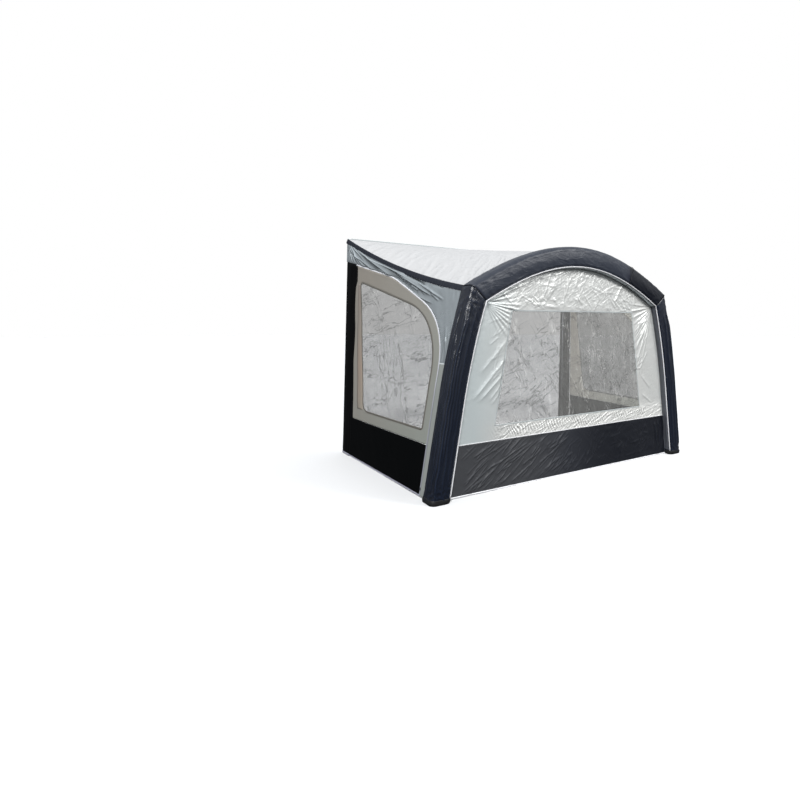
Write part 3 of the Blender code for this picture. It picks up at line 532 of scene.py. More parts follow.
def film(name, colour, turn=0.9, seed=0.0):
    """Clear sheet that has been folded away: a grey veil, and fine creases that catch the light, with painted
    shade and painted highlights along them in its colour.
    """
    made, tree, shader = new_material(name, 0.16, specular=0.4)
    tint = srgb(colour)
    place = add(tree, "UVMap", uv_map="cloth").outputs[0]
    layers = []
    for way, scale, stretch in ((turn, 12.0, 5.0), (turn - 1.3, 14.0, 4.0), (turn + 0.5, 20.0, 4.0)):
        layers.append(placed(tree, "crease", {"Vector": place, "Turn": way, "Scale": scale, "Warp": 0.007,
                                              "Gate": 0.45, "Wide": 0.045, "Stretch": stretch,
                                              "Seed": seed + 3.0 * len(layers)}))
    lines = maths(tree, "MAXIMUM", layers[0]["Lines"], layers[1]["Lines"])
    # Painted shade and painted highlights: the crease lines of the first two layers darken the colour, and
    # the lines of the third lighten it, as light caught along the creases.
    shade = mixed(tree, maths(tree, "MULTIPLY", lines, 0.27), (*tint, 1), (*[c * 0.3 for c in tint], 1))
    shade = mixed(tree, maths(tree, "MULTIPLY", layers[2]["Lines"], 0.5), shade,
                  (*[min(1.0, c * 3.2) for c in tint], 1))
    waves = layers[1]["Height"]
    relief = bumped(tree, maths(tree, "ADD", maths(tree, "MULTIPLY", waves, 0.5), lines), 0.004)
    veil = maths(tree, "MULTIPLY_ADD", lines, 0.14, 0.46)
    veil = maths(tree, "MULTIPLY_ADD", maths(tree, "SUBTRACT", waves, 0.55), 0.10, veil, clamp=True)
    tree.links.new(shade, shader["Base Color"])
    tree.links.new(relief, shader["Normal"])
    tree.links.new(veil, shader["Alpha"])
    return made


def solid(name, colour, roughness, metallic=0.0, grain=420.0, depth=0.00012, brushed=0.0):
    """Moulded plastic, metal or foam: a fine grain on Object coordinates, and a slightly uneven colour."""
    made, tree, shader = new_material(name, roughness, metallic)
    place = spot_on_object(tree)
    if brushed:
        place = add(tree, "Mapping", {"Vector": place, "Scale": (1.0, 1.0, brushed)}).outputs[0]
    toned = placed(tree, "tone", {"Vector": place, "Color": (*srgb(colour), 1), "Amount": 0.2})["Color"]
    speck = noisy(tree, place, grain, 2.0)
    tree.links.new(toned, shader["Base Color"])
    tree.links.new(bumped(tree, speck, depth, 0.5), shader["Normal"])
    tree.links.new(maths(tree, "MULTIPLY_ADD", speck, 0.14, roughness - 0.07), shader["Roughness"])
    return made


def graded(way, low, high, *stops, kind="LINEAR"):
    """A colour that changes with the place on the object, weighed by way, from low to high."""
    def colour(tree):
        values = {0: spot_on_object(tree), 1: way}
        level = add(tree, "VectorMath", values, operation="DOT_PRODUCT").outputs["Value"]
        return ramp(tree, spread(tree, level, low, high, kind=kind), stops)
    return colour


def front_zone(tree):
    """Where the front panel is crinkled: above the window and under it, and not far left."""
    parts = axes(tree, spot_on_object(tree))
    above = spread(tree, parts["Z"], 1.52, 1.60, 0.15, 0.30)
    under = spread(tree, parts["Z"], 0.62, 0.57)
    right = spread(tree, parts["X"], -1.02, -0.88)
    return maths(tree, "MULTIPLY", maths(tree, "MAXIMUM", above, under), right)


def front_painted_light(tree):
    """Painted light on one silver cloth: cooler and darker at the far left as painted shade, neutral beyond
    it, and palest under the window as a painted highlight.
    """
    parts = axes(tree, spot_on_object(tree))
    share = spread(tree, parts["X"], -1.2, -0.7)
    low = spread(tree, parts["Z"], 0.65, 0.55, 0.0, 0.5)
    level = maths(tree, "MULTIPLY_ADD", low, share, maths(tree, "MULTIPLY", share, 0.5))
    return ramp(tree, level, ((0.0, (203, 211, 211)), (0.5, (216, 217, 214)), (1.0, (236, 236, 232))))


ACROSS, UP = (1, 0, 0), (0, 0, 1)
# Painted sheen on one charcoal cloth: paler on the left and navy black on the right, for the light that falls
# across the front skirt.
SKIRT_PAINTED_SHEEN = graded(ACROSS, -0.75, 0.55, (0.0, (64, 65, 68)), (0.55, (44, 46, 52)), (1.0, (17, 20, 28)),
                      kind="SMOOTHSTEP")
DOOR_COLOUR = graded((0, 0.45, 0.35), -0.15, 0.95, (0.0, (146, 150, 143)), (0.6, (150, 147, 139)),
                     (1.0, (150, 144, 135)))
BEIGE = graded(UP, 0.5, 1.8, (0.0, (158, 150, 138)), (0.4, (164, 147, 133)), (0.7, (152, 143, 133)),
               (1.0, (147, 137, 128)))
CROWN_COLOUR = graded(ACROSS, 0.60, 0.72, (0.0, (45, 50, 61)), (0.48, (29, 33, 47)), (0.52, (7, 12, 25)),
                      (1.0, (5, 10, 22)))
ZIP_COLOUR = graded(UP, 0.7, 1.6, (0.0, (150, 152, 162)), (1.0, (240, 241, 246)))
TAPE = {"threads": 1400.0, "crease": 0.0004, "scale": 30, "stitch": 0.026}

# Each cloth's slot, colour, roughness and other values
CLOTHS = {
    "front_silver": ("silver_cloth", front_painted_light, 0.38,
                     {"turn": 0.7, "scale": 16, "tone": 0.08, "metallic": 0.30, "zone": front_zone,
                      "fine": (0.0055, 22, -0.5, 3.2)}),
    "side_silver": ("silver_cloth", (172, 179, 182), 0.30,
                    {"crease": 0.0016, "turn": -0.5, "scale": 11, "tone": 0.12, "metallic": 0.75,
                     "seed": 2.0, "painted_fold_shading": 4.0}),
    "roof_silver": ("silver_cloth", (194, 194, 194), 0.48,
                    {"crease": 0.0040, "turn": 0.6, "scale": 8, "tone": 0.06, "seed": 5.0, "painted_fold_shading": 2.5,
                     "fine": (0.005, 9, 0.6, 4.0)}),
    "door_grey": ("grey_cloth", DOOR_COLOUR, 0.62, {"crease": 0.0005, "turn": 0.3, "scale": 9, "tone": 0.10}),
    "strip_grey": ("grey_cloth", (150, 154, 150), 0.55,
                   {"crease": 0.0006, "turn": 1.5, "scale": 10, "tone": 0.12}),
    "door_black": ("black_cloth", (3, 4, 5), 0.60,
                   {"specular": 0.06, "crease": 0.0006, "turn": 0.4, "scale": 8, "tone": 0.25}),
    "front_charcoal": ("charcoal_cloth", SKIRT_PAINTED_SHEEN, 0.38,
                       {"crease": 0.0030, "turn": 0.65, "scale": 15, "stretch": 5, "painted_fold_shading": 3.0, "seed": 1.0}),
    "sleeve_navy": ("navy_cloth", (15, 22, 36), 0.27,
                    {"specular": 0.55, "crease": 0.0028, "turn": 1.57, "scale": 15, "stretch": 5,
                     "tone": 0.30, "seed": 3.0, "painted_fold_shading": 7.0}),
    "crown_slate": ("navy_cloth", CROWN_COLOUR, 0.38,
                    {"specular": 0.4, "crease": 0.0022, "turn": 1.45, "scale": 12, "stretch": 5,
                     "seed": 4.0, "fine": (0.0015, 14, 1.3, 4.0)}),
    "ledge_grey": ("navy_cloth", (84, 87, 94), 0.5, {"crease": 0.0010, "tone": 0.2}),
    "band_navy": ("navy_cloth", (22, 27, 40), 0.42,
                  {"crease": 0.0016, "turn": 1.3, "scale": 30, "stretch": 2, "tone": 0.25, "seed": 6.0}),
    "column_black": ("black_cloth", (4, 4, 5), 0.60,
                     {"specular": 0.08, "crease": 0.0014, "turn": 1.5, "scale": 9, "tone": 0.3, "seed": 8.0}),
    "tape_white": ("white_tape", (240, 240, 242), 0.5, {**TAPE, "tone": 0.06}),
    "tape_grey": ("grey_tape", (158, 158, 172), 0.5, {**TAPE, "tone": 0.12}),
    "tape_black": ("navy_cloth", (14, 14, 17), 0.5, {**TAPE, "tone": 0.2}),
    "tape_silver": ("silver_cloth", (205, 211, 211), 0.45,
                    {"crease": 0.0006, "scale": 20, "tone": 0.08, "stitch": 0.022}),
    "tape_taupe": ("grey_cloth", (128, 124, 116), 0.6,
                   {"crease": 0.0004, "scale": 20, "tone": 0.10, "stitch": 0.018}),
    "tape_beige": ("grey_cloth", BEIGE, 0.6, {"crease": 0.0008, "scale": 20, "tone": 0.12}),
    "zip_tape": ("zip_tape", ZIP_COLOUR, 0.5,
                 {"threads": 1600.0, "crease": 0.0002, "scale": 30, "tone": 0.06}),
}
FINISH = {
    "window_film": film("window_film", (128, 128, 126)),
    "door_film": film("door_film", (122, 122, 120), turn=1.1, seed=2.0),
    "boot_black": solid("boot_black", (10, 10, 12), 0.6, grain=160, depth=0.0006),
    "moulded_black": solid("moulded_black", (20, 20, 22), 0.42),
    "painted_steel": solid("painted_steel", (70, 72, 76), 0.35, 0.85, grain=900, brushed=0.02),
    "zip_metal": solid("zip_metal", (96, 98, 104), 0.32, 0.9, grain=700),
    "foam_grey": solid("foam_grey", (90, 90, 92), 0.9, grain=900, depth=0.0006),
    "bladder_skin": solid("bladder_skin", (150, 158, 166), 0.3, grain=200),
    "peg_cord": solid("peg_cord", (236, 236, 234), 0.6, grain=900, depth=0.0003),
}
for cloth, (slot, colour, roughness, values) in CLOTHS.items():
    FINISH[cloth] = fabric(cloth, colour, roughness, **values)


# Camera, light and floor

SKY_LEVELS = ((-1.0, 0.10), (-0.03, 0.14), (0.03, 0.34), (0.5, 0.62), (1.0, 0.95))
CAMERA_PLACE = (-3.486, -3.79935, 1.446)
CAMERA_TILT = math.radians(80.437)
CAMERA_TURN = math.radians(-27.929)
CAMERA_LENS, CAMERA_SENSOR = 20.25, 36
KEY_FROM, KEY_AT, KEY_POWER, KEY_ANGLE = (-4.2, -5.8, 6.8), (0, 0, 0), 2.5, math.radians(12)
FILL_FROM, FILL_AT, FILL_POWER, FILL_SIZE = (4.5, -6.0, 6.0), (0, 0, 1.0), 260, 2.5
INSIDE_FROM, INSIDE_AT, INSIDE_POWER, INSIDE_SIZE = (-0.9, 0.3, 1.2), (1.5, 0.1, 0.95), 130, 1.3


def linked(name, data, place=(0, 0, 0)):
    """An object in the scene."""
    made = bpy.data.objects.new(name, data)
    made.location = place
    bpy.context.scene.collection.objects.link(made)
    return made


def stand_camera():
    lens = bpy.data.cameras.new("view")
    lens.lens = CAMERA_LENS
    lens.sensor_width = CAMERA_SENSOR
    camera = linked("view", lens, CAMERA_PLACE)
    camera.rotation_euler = (CAMERA_TILT, 0, CAMERA_TURN)
    bpy.context.scene.camera = camera


def lamp(name, kind, place, target, power, size):
    light = bpy.data.lights.new(name, kind)
    light.energy = power
    if kind == "SUN":
        light.angle = size
    else:
        light.shape = "DISK"
        light.size = size
    made = linked(name, light, place)
    made.rotation_euler = (Vector(target) - Vector(place)).to_track_quat("-Z", "Y").to_euler()
    return made


def set_studio():
    """A sky that is brighter overhead and white behind, a soft key from the front left, a fill, and a lamp
    inside for the light that comes through the roof cloth."""
    scene = bpy.context.scene
    scene.view_settings.view_transform = "Standard"
    world = bpy.data.worlds.new("studio")
    scene.world = world
    world.use_nodes = True
    tree = world.node_tree
    height = axes(tree, add(tree, "TexCoord").outputs["Generated"])["Z"]
    stops = [((level + 1) / 2, grey) for level, grey in SKY_LEVELS]
    sky = tree.nodes["Background"]
    sky.inputs["Color"].default_value = (0.93, 0.96, 1.0, 1)
    tree.links.new(ramp(tree, spread(tree, height, -1.0, 1.0), stops), sky.inputs["Strength"])
    backdrop = add(tree, "Background", {"Color": (1, 1, 1, 1)})
    path = add(tree, "LightPath").outputs
    seen = maths(tree, "MAXIMUM", path["Is Camera Ray"], path["Is Transmission Ray"])
    mix = add(tree, "MixShader", {"Fac": seen, 1: sky.outputs[0], 2: backdrop.outputs[0]})
    tree.links.new(mix.outputs[0], tree.nodes["World Output"].inputs["Surface"])
    lamp("key", "SUN", KEY_FROM, KEY_AT, KEY_POWER, KEY_ANGLE)
    lamp("fill", "AREA", FILL_FROM, FILL_AT, FILL_POWER, FILL_SIZE)
    inside = lamp("inside", "AREA", INSIDE_FROM, INSIDE_AT, INSIDE_POWER, INSIDE_SIZE)
    inside.visible_camera = False


def lay_floor():
    """A plain pale floor, which doesn't light the cloth from below."""
    bm = bmesh.new()
    bmesh.ops.create_circle(bm, cap_ends=True, radius=60, segments=64)
    mesh = bpy.data.meshes.new("studio_floor")
    bm.to_mesh(mesh)
    bm.free()
    pale, tree, shader = new_material("floor_pale", 0.9)
    shader["Base Color"].default_value = (0.86, 0.86, 0.86, 1)
    mesh.materials.append(pale)
    floor = linked("studio_floor", mesh)
    floor.visible_diffuse = False
    floor.visible_glossy = False


# Folds

LEAN_WIDTH = 0.011      # a fold along a line that is wider than this has a sharp crest and leans
FOLD_FADE = 0.25        # share of a fold's length in which it fades at each end


def bump_line(point, start, end, width, height):
    """A fold along a line: a ridge, or a hollow if its height is below 0, that fades at both ends."""
    way = end - start
    length = way.length
    along = (point - start).dot(way) / (length * length)
    if not -0.05 < along < 1.05:
        return 0.0
    off = way.cross(point - start) / length
    if abs(off) > 4 * width:
        return 0.0
    sharp = width > LEAN_WIDTH
    if sharp:
        off /= 0.65 if off < 0 else 1.5
    fade = min(1.0, max(0.0, min(along, 1 - along) / FOLD_FADE))
    drop = abs(off / width) * 1.2 if sharp else (off / width) ** 2
    return height * fade * fade * (3 - 2 * fade) * math.exp(-drop)


def lined(point, folds):
    return sum(bump_line(point, *fold) for fold in folds)


def lines(*rows):
    """Folds from rows of (x, z, x, z, width, height)."""
    return tuple((Vector(row[:2]), Vector(row[2:4]), *row[4:]) for row in rows)


def scattered(seed, count, low, high, turn, about, length, width, height):
    """Short folds at random places in a box, at about one angle in degrees. length, width and height are
    ranges, in metres."""
    pick = random.Random(seed)
    made = []
    for k in range(count):
        middle = Vector((pick.uniform(low[0], high[0]), pick.uniform(low[1], high[1])))
        angle = math.radians(pick.gauss(turn, about))
        reach = Vector((math.cos(angle), math.sin(angle))) * (pick.uniform(*length) / 2)
        made.append((middle - reach, middle + reach, pick.uniform(*width), pick.uniform(*height)))
    return tuple(made)


def fan(point, centre, rays):
    """Folds that start at a corner. Each ray is (angle in degrees, from, to, width at the end, height)."""
    offset = point - Vector(centre)
    far = offset.length
    if far < 1e-6:
        return 0.0
    angle = math.degrees(math.atan2(offset.y, offset.x))
    total = 0.0
    for turn, near, end, width, height in rays:
        if not near < far < end:
            continue
        share = (far - near) / (end - near)
        apart = math.radians(angle - turn) * far
        wide = width * (0.25 + 0.75 * min(1.0, far / end))
        if abs(apart) < 3 * wide:
            total += height * math.sin(math.pi * share ** 0.7) * math.exp(-(apart / wide) ** 2)
    return total


def ripple(point, turn, pitch, stretch, seed):
    """Soft uneven waves across one way, from -1 to 1."""
    across = Vector((math.cos(turn), math.sin(turn)))
    along = Vector((-across.y, across.x))
    return noise.noise(Vector((point.dot(across) / pitch, point.dot(along) / (pitch * stretch), seed)))


def crumple(point, pitch, seed):
    """Sharp ridges every way, from 0 to 1, as in cloth that has been squeezed."""
    first = 1 - abs(noise.noise(Vector((point.x / pitch, point.y / pitch, seed))) * 2)
    second = 1 - abs(noise.noise(Vector((point.y / pitch * 1.7, point.x / pitch * 1.7, seed + 5.0))) * 2)
    return 0.65 * first * first + 0.35 * second * second


def bell(value, middle, width):
    return math.exp(-((value - middle) / width) ** 2)


def ease(value, low, high):
    share = min(1.0, max(0.0, (value - low) / (high - low)))
    return share * share * (3 - 2 * share)


def front_folds(point):
    """Depth of the front wall's folds, in metres towards the inside."""
    x, z = point
    total = -lined(point, FRONT_FOLDS)
    total -= fan(point, LEFT_SHOULDER, LEFT_SHOULDER_FAN)
    total -= fan(point, RIGHT_SHOULDER, RIGHT_SHOULDER_FAN)
    over = ease(z, 1.555, 1.62) * (1 - ease(abs(x), 0.75, 1.0))
    if over > 0:
        total -= over * (0.0020 * crumple(point, 0.085, 1.0) + 0.0025 * ripple(point, 0.5, 0.06, 3.0, 2.0))
    above = bell(z, 1.605, 0.035) * (1 - ease(abs(x), 0.72, 0.85))
    if above > 0.01:
        total -= above * 0.004 * max(0.0, ripple(point, 0.9, 0.035, 2.5, 4.0))
    under = bell(z, 0.515, 0.05) * ease(x, -1.05, -0.85) * (1 - ease(x, 1.02, 1.16))
    if under > 0.01:
        sway = x + 0.55 * (z - 0.5) + 0.030 * noise.noise(Vector((x * 9, z * 12, 7.0)))
        size = 0.5 + 1.0 * noise.noise(Vector((x * 5, z * 8, 8.0)))
        total -= under * size * 0.0048 * math.sin(sway * math.tau / 0.034)
    total -= 0.003 * ripple(point, 0.3, 0.30, 1.5, 9.0)
    near = inner_half(max(z, 0.0)) - abs(x) if z < SHOULDER_HEIGHT else 1.0
    if near < 0.12:
        total -= 0.0018 * (1 - near / 0.12) * ripple(point, 1.57, 0.035, 2.0, 11.0)
    return total


def skirt_folds(point):
    """Depth of the front skirt's folds."""
    x, z = point
    left = (1 - ease(x, -0.35, 0.0)) * ease(x, -1.35, -0.9)
    total = -0.005 * left * ripple(point, 2.25, 0.045, 5.0, 21.0) - lined(point, SKIRT_FOLDS)
    total -= 0.003 * ease(x, 0.2, 0.5) * ripple(point, 1.6, 0.06, 2.5, 23.0)
    total -= 0.006 * ease(x, 1.18, 1.32) * ripple(point, -0.22, 0.035, 6.0, 25.0)
    total -= 0.004 * ripple(point, 0.1, 0.35, 1.0, 27.0)
    return total * ease(z, 0.01, 0.08) * (1 - ease(z, 0.43, 0.45) * 0.7)


def gusset_folds(point):
    """Depth of a gusset's folds: they fan out from the corner at the rail."""
    q, z = point
    total = -fan(point, RAIL_CORNER, GUSSET_FAN) - lined(point, GUSSET_FOLDS)
    front = ease(q, 1.05, 1.35) * (1 - ease(z, 1.50, 1.66))
    if front > 0:
        total -= front * 0.003 * ripple(point, 0.22, 0.045, 9.0, 31.0)
    corner = bell((point - Vector((1.66, 1.70))).length, 0.0, 0.10)
    total -= corner * 0.003 * ripple(point, 0.2, 0.03, 2.5, 33.0)
    return total - 0.002 * ripple(point, 0.5, 0.06, 3.0, 35.0)


def waves(*ripples):
    """Folds that are a sum of ripples, each (height, turn, pitch, stretch, seed)."""
    return lambda point: sum(height * ripple(point, *rest) for height, *rest in ripples)


def roof_folds(flat):
    """Depth of the roof's folds, in metres down. Beside the poles it stays above them."""
    u, s = flat
    point = Vector((u * 1.45, s * 1.7))
    total = 0.004 * ripple(point, 1.2, 0.16, 3.0, 51.0)
    edge = ease(abs(u), 0.55, 0.95)
    total += 0.004 * edge * ripple(point, 0.95 if u < 0 else -0.95, 0.055, 5.0, 53.0)
    total += 0.003 * crumple(point, 0.22, 55.0)
    sag = math.sin(math.pi * s) * (1 - u * u) * 0.006
    beside = ease(abs(abs(u) - POLE_SHARE), 0.03, 0.12)
    return min(total + sag, 0.0003 + 0.02 * beside)


def band_folds(flat):
    """The binding is quilted: it pulls in at each stitch."""
    return 0.0012 * math.sin(flat.x * math.tau / 0.034) + 0.0016 * noise.noise(Vector((flat.x * 14, 2.0, 0)))


no_folds = waves()
door_folds = waves((-0.003, 0.2, 0.28, 1.6, 41.0), (-0.0012, 0.4, 0.09, 3.0, 43.0))
side_skirt_folds = waves((-0.004, 0.15, 0.30, 2.0, 45.0), (-0.0015, 0.5, 0.08, 3.0, 47.0))
film_folds = waves((-0.0035, 0.3, 0.35, 1.5, 93.0), (-0.0015, 0.9, 0.10, 2.5, 95.0))
strip_folds = waves((-0.002, 0.1, 0.10, 3.0, 97.0))
front_hem_folds = waves((0.0035, 0.0, 0.10, 2.0, 91.0))
door_hem_folds = waves((0.003, 0.0, 0.12, 2.0, 99.0))

LEFT_SHOULDER, RIGHT_SHOULDER, RAIL_CORNER = (-1.075, 1.622), (1.120, 1.622), (0.015, 2.325)
LEFT_SHOULDER_FAN = ((-2, 0.03, 0.42, 0.010, 0.005), (-9, 0.02, 0.40, 0.012, 0.008),
                     (-17, 0.03, 0.46, 0.014, 0.009), (-25, 0.02, 0.42, 0.014, 0.008),
                     (-33, 0.04, 0.50, 0.015, 0.010), (-41, 0.03, 0.44, 0.015, 0.008),
                     (-50, 0.03, 0.47, 0.016, 0.007), (-60, 0.04, 0.34, 0.014, 0.004),
                     (12, 0.05, 0.34, 0.014, 0.006), (22, 0.05, 0.30, 0.012, 0.005))
RIGHT_SHOULDER_FAN = ((-137, 0.02, 0.42, 0.014, 0.012), (-128, 0.03, 0.50, 0.012, 0.009),
                      (-120, 0.02, 0.62, 0.014, 0.013), (-112, 0.03, 0.75, 0.016, 0.011),
                      (-104, 0.05, 0.70, 0.014, 0.007), (-148, 0.03, 0.36, 0.014, 0.008),
                      (-160, 0.03, 0.40, 0.014, 0.008), (-172, 0.03, 0.44, 0.016, 0.008),
                      (176, 0.04, 0.42, 0.014, 0.006), (160, 0.05, 0.36, 0.014, 0.005))
GUSSET_FAN = ((-86, 0.02, 0.30, 0.010, 0.012), (-77, 0.03, 0.30, 0.008, 0.010),
              (-68, 0.03, 0.32, 0.010, 0.014), (-60, 0.04, 0.34, 0.009, 0.012),
              (-52, 0.03, 0.36, 0.011, 0.016), (-44, 0.04, 0.40, 0.011, 0.016),
              (-37, 0.06, 0.42, 0.010, 0.012))
THIN = (0.006, 0.009)
FRONT_FOLDS = (
    *lines((-0.80, 1.22, -1.24, 0.80, 0.020, 0.011), (-0.83, 1.08, -1.17, 0.79, 0.016, 0.010),
           (-0.86, 0.99, -1.06, 0.79, 0.013, 0.007), (-0.84, 1.33, -1.16, 1.02, 0.016, 0.007),
           (-0.88, 0.92, -1.03, 0.76, 0.012, 0.006), (0.98, 0.92, 1.16, 0.76, 0.012, 0.006),
           (1.00, 0.72, 1.20, 0.60, 0.012, 0.006), (0.66, 1.88, 0.50, 1.64, 0.012, 0.008),
           (0.78, 1.82, 0.83, 1.64, 0.012, 0.005), (-0.50, 1.83, -0.46, 1.62, 0.012, 0.005),
           (-0.25, 1.90, -0.42, 1.66, 0.012, 0.005)),
    *scattered(1, 60, (-0.85, 1.575), (0.85, 1.68), 155, 30, (0.06, 0.22), THIN, (0.001, 0.0045)),
    *scattered(2, 34, (-0.75, 1.66), (0.10, 1.90), 62, 30, (0.12, 0.36), THIN, (0.001, 0.004)),
    *scattered(12, 34, (0.05, 1.66), (0.85, 1.90), 122, 34, (0.12, 0.36), THIN, (0.001, 0.004)),
    *scattered(4, 22, (-1.00, 0.95), (-0.86, 1.52), 38, 16, (0.08, 0.20), (0.006, 0.008), (0.001, 0.003)),
    *scattered(5, 22, (0.90, 0.90), (1.02, 1.50), 55, 18, (0.10, 0.24), (0.006, 0.010), (0.003, 0.007)),
)
SKIRT_FOLDS = (
    *scattered(6, 120, (-1.25, 0.05), (-0.10, 0.41), 34, 9, (0.08, 0.32), (0.0055, 0.0085), (0.002, 0.006)),
    *scattered(7, 110, (-0.30, 0.05), (1.15, 0.41), 42, 22, (0.06, 0.22), (0.0055, 0.008), (0.0015, 0.0045)),
    *lines((1.24, 0.43, 1.33, 0.10, 0.010, 0.008), (1.30, 0.43, 1.38, 0.08, 0.008, 0.007)),
)
GUSSET_FOLDS = (
    *scattered(8, 14, (1.00, 1.62), (1.42, 1.78), 146, 8, (0.12, 0.30), (0.007, 0.011), (0.003, 0.007)),
    *scattered(9, 10, (1.60, 1.14), (1.66, 1.50), 98, 5, (0.15, 0.35), (0.007, 0.011), (0.001, 0.003)),
    *lines((0.02, 2.33, 0.88, 1.83, 0.030, 0.042), (0.10, 2.20, 0.56, 1.93, 0.012, 0.018),
           (0.04, 2.27, 0.38, 1.98, 0.012, 0.020), (0.24, 2.20, 1.05, 1.84, 0.024, 0.024),
           (0.50, 2.02, 1.22, 1.68, 0.018, -0.028), (0.58, 1.98, 1.12, 1.68, 0.014, 0.020),
           (0.90, 1.93, 1.26, 1.78, 0.014, -0.022), (0.82, 1.93, 1.36, 1.68, 0.014, 0.020),
           (1.10, 1.84, 1.44, 1.67, 0.013, 0.012), (1.27, 1.83, 1.46, 1.75, 0.012, -0.014),
           (1.02, 1.74, 1.38, 1.62, 0.012, 0.010), (1.10, 1.66, 1.42, 1.52, 0.010, 0.007)),
)


# Pieces

WELD = 0.00004          # vertices closer than this become one
CLOSED_WELD = 0.0001
EDGE_FADE = 0.03        # metres in from a sheet's edge where its folds reach their full depth
EDGE_SHARE = 0.15       # share of its folds that is left at the edge
NO_ENDS, ALL_ENDS = -1.0, math.inf


def grid(across, along, spot):
    """A grid that spot(u, v) shapes: it gives each vertex's place, and its place on the cloth in metres
    or None."""
    bm = bmesh.new()
    bmesh.ops.create_grid(bm, x_segments=across, y_segments=along, size=0.5)
    bmesh.ops.translate(bm, verts=bm.verts[:], vec=(0.5, 0.5, 0))
    bm.verts.index_update()
    metres = []
    for vert in bm.verts:
        vert.co, on_cloth = spot(vert.co.x, vert.co.y)
        metres.append(on_cloth)
    if metres[0] is not None:
        layer = bm.loops.layers.uv.new("cloth")
        for face in bm.faces:
            for loop in face.loops:
                loop[layer].uv = metres[loop.vert.index]
    return bm


def close_up(bm, ends):
    """Weld the seam, fill the open ends that lie below this height, and turn the faces outwards."""
    bmesh.ops.remove_doubles(bm, verts=bm.verts[:], dist=WELD)
    edges = [edge for edge in bm.edges if edge.is_boundary and max(vert.co.z for vert in edge.verts) < ends]
    if edges:
        bmesh.ops.holes_fill(bm, edges=edges, sides=0)
    bmesh.ops.recalc_face_normals(bm, faces=bm.faces[:])


def face_out(bm, out):
    """Turn an open sheet's faces towards its outside."""
    bm.normal_update()
    total = sum((face.normal * face.calc_area() for face in bm.faces), Vector())
    if total.dot(out) < 0:
        bmesh.ops.reverse_faces(bm, faces=bm.faces[:])


def mark_crests(bm):
    """Store at each vertex how sharply the cloth bends there: above 0 on a crest, below 0 in a hollow."""
    # The cloth finishes use this value to paint crests lighter and hollows darker, as painted highlight and
    # painted shade.
    layer = bm.verts.layers.float.new("crest")
    bm.normal_update()
    for vert in bm.verts:
        if vert.is_boundary or not vert.link_edges:
            continue
        others = [edge.other_vert(vert).co for edge in vert.link_edges]
        middle = sum(others, Vector()) / len(others)
        width = sum((other - vert.co).length for other in others) / len(others)
        vert[layer] = (vert.co - middle).dot(vert.normal) / max(width, 1e-6)


def finish_piece(name, bm, finish, body="canopy", replaces=None, thickness=0.0):
    """Turn a bmesh into a piece that rides on a body and has its finish. It takes the place of the node
    of its name, or of the one that replaces names."""
    mark_crests(bm)
    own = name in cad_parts
    label = "soft_" + name if own else name
    mesh = bpy.data.meshes.new(label)
    bm.to_mesh(mesh)
    bm.free()
    mesh.shade_smooth()
    mesh.materials.append(FINISH[finish])
    made = linked(label, mesh)
    if thickness:
        cloth = made.modifiers.new("cloth", "SOLIDIFY")
        cloth.thickness = thickness
        cloth.offset = -1
    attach(made, body)
    if own or replaces:
        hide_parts(replaces or name)
    return made


def sheet(name, spot, sizes, place, folds, finish, out, body="canopy", metres=None, closed=False, pitch=1.0):
    """A sheet whose flat places come from spot(u, v). sizes is its length along u and v; its folds fade
    at its edges, and a closed one is a ring with no edge across it."""
    across = max(4, round(sizes[0] / (PITCH * pitch)))
    along = max(2, round(sizes[1] / (PITCH * pitch)))

    def shape(u, v):
        flat = spot(u, v)
        edge = min(v, 1 - v) * sizes[1]
        if not closed:
            edge = min(edge, u * sizes[0], (1 - u) * sizes[0])
        depth = folds(flat) * min(1.0, EDGE_SHARE + edge / EDGE_FADE)
        return place(flat, depth), metres(flat) if metres else flat
    bm = grid(across, along, shape)
    if closed:
        bmesh.ops.remove_doubles(bm, verts=bm.verts[:], dist=CLOSED_WELD)
    face_out(bm, out)
    return finish_piece(name, bm, finish, body, thickness=SKIN)


def bead(name, path, section, place, folds, finish, body="canopy", closed=False, pitch=PITCH):
    """A strip, tape or welt along a path in flat coordinates. section is a closed line of
    (offset to the path's left, depth inwards)."""
    path = path + path[:1] if closed else path
    at = run(path)
    length = length_of(path)
    count = max(2, round(length / pitch))
    around = len(section)
    low = min(offset for offset, depth in section)
    small = 0.5 / count

    def frame_at(u):
        ahead, behind = u + small, u - small
        if closed:
            way = at(ahead % 1.0) - at(behind % 1.0)
        else:
            way = at(min(1.0, ahead)) - at(max(0.0, behind))
        way.normalize()
        return at(u), Vector((-way.y, way.x))
    frames = kept(frame_at)

    def shape(u, v):
        here, left = frames(u)
        offset, depth = section[round(v * around) % around]
        flat = here + left * offset
        return place(flat, depth + folds(flat)), Vector((u * length, offset - low))
    bm = grid(count, around, shape)
    close_up(bm, NO_ENDS if closed else ALL_ENDS)
    return finish_piece(name, bm, finish, body)


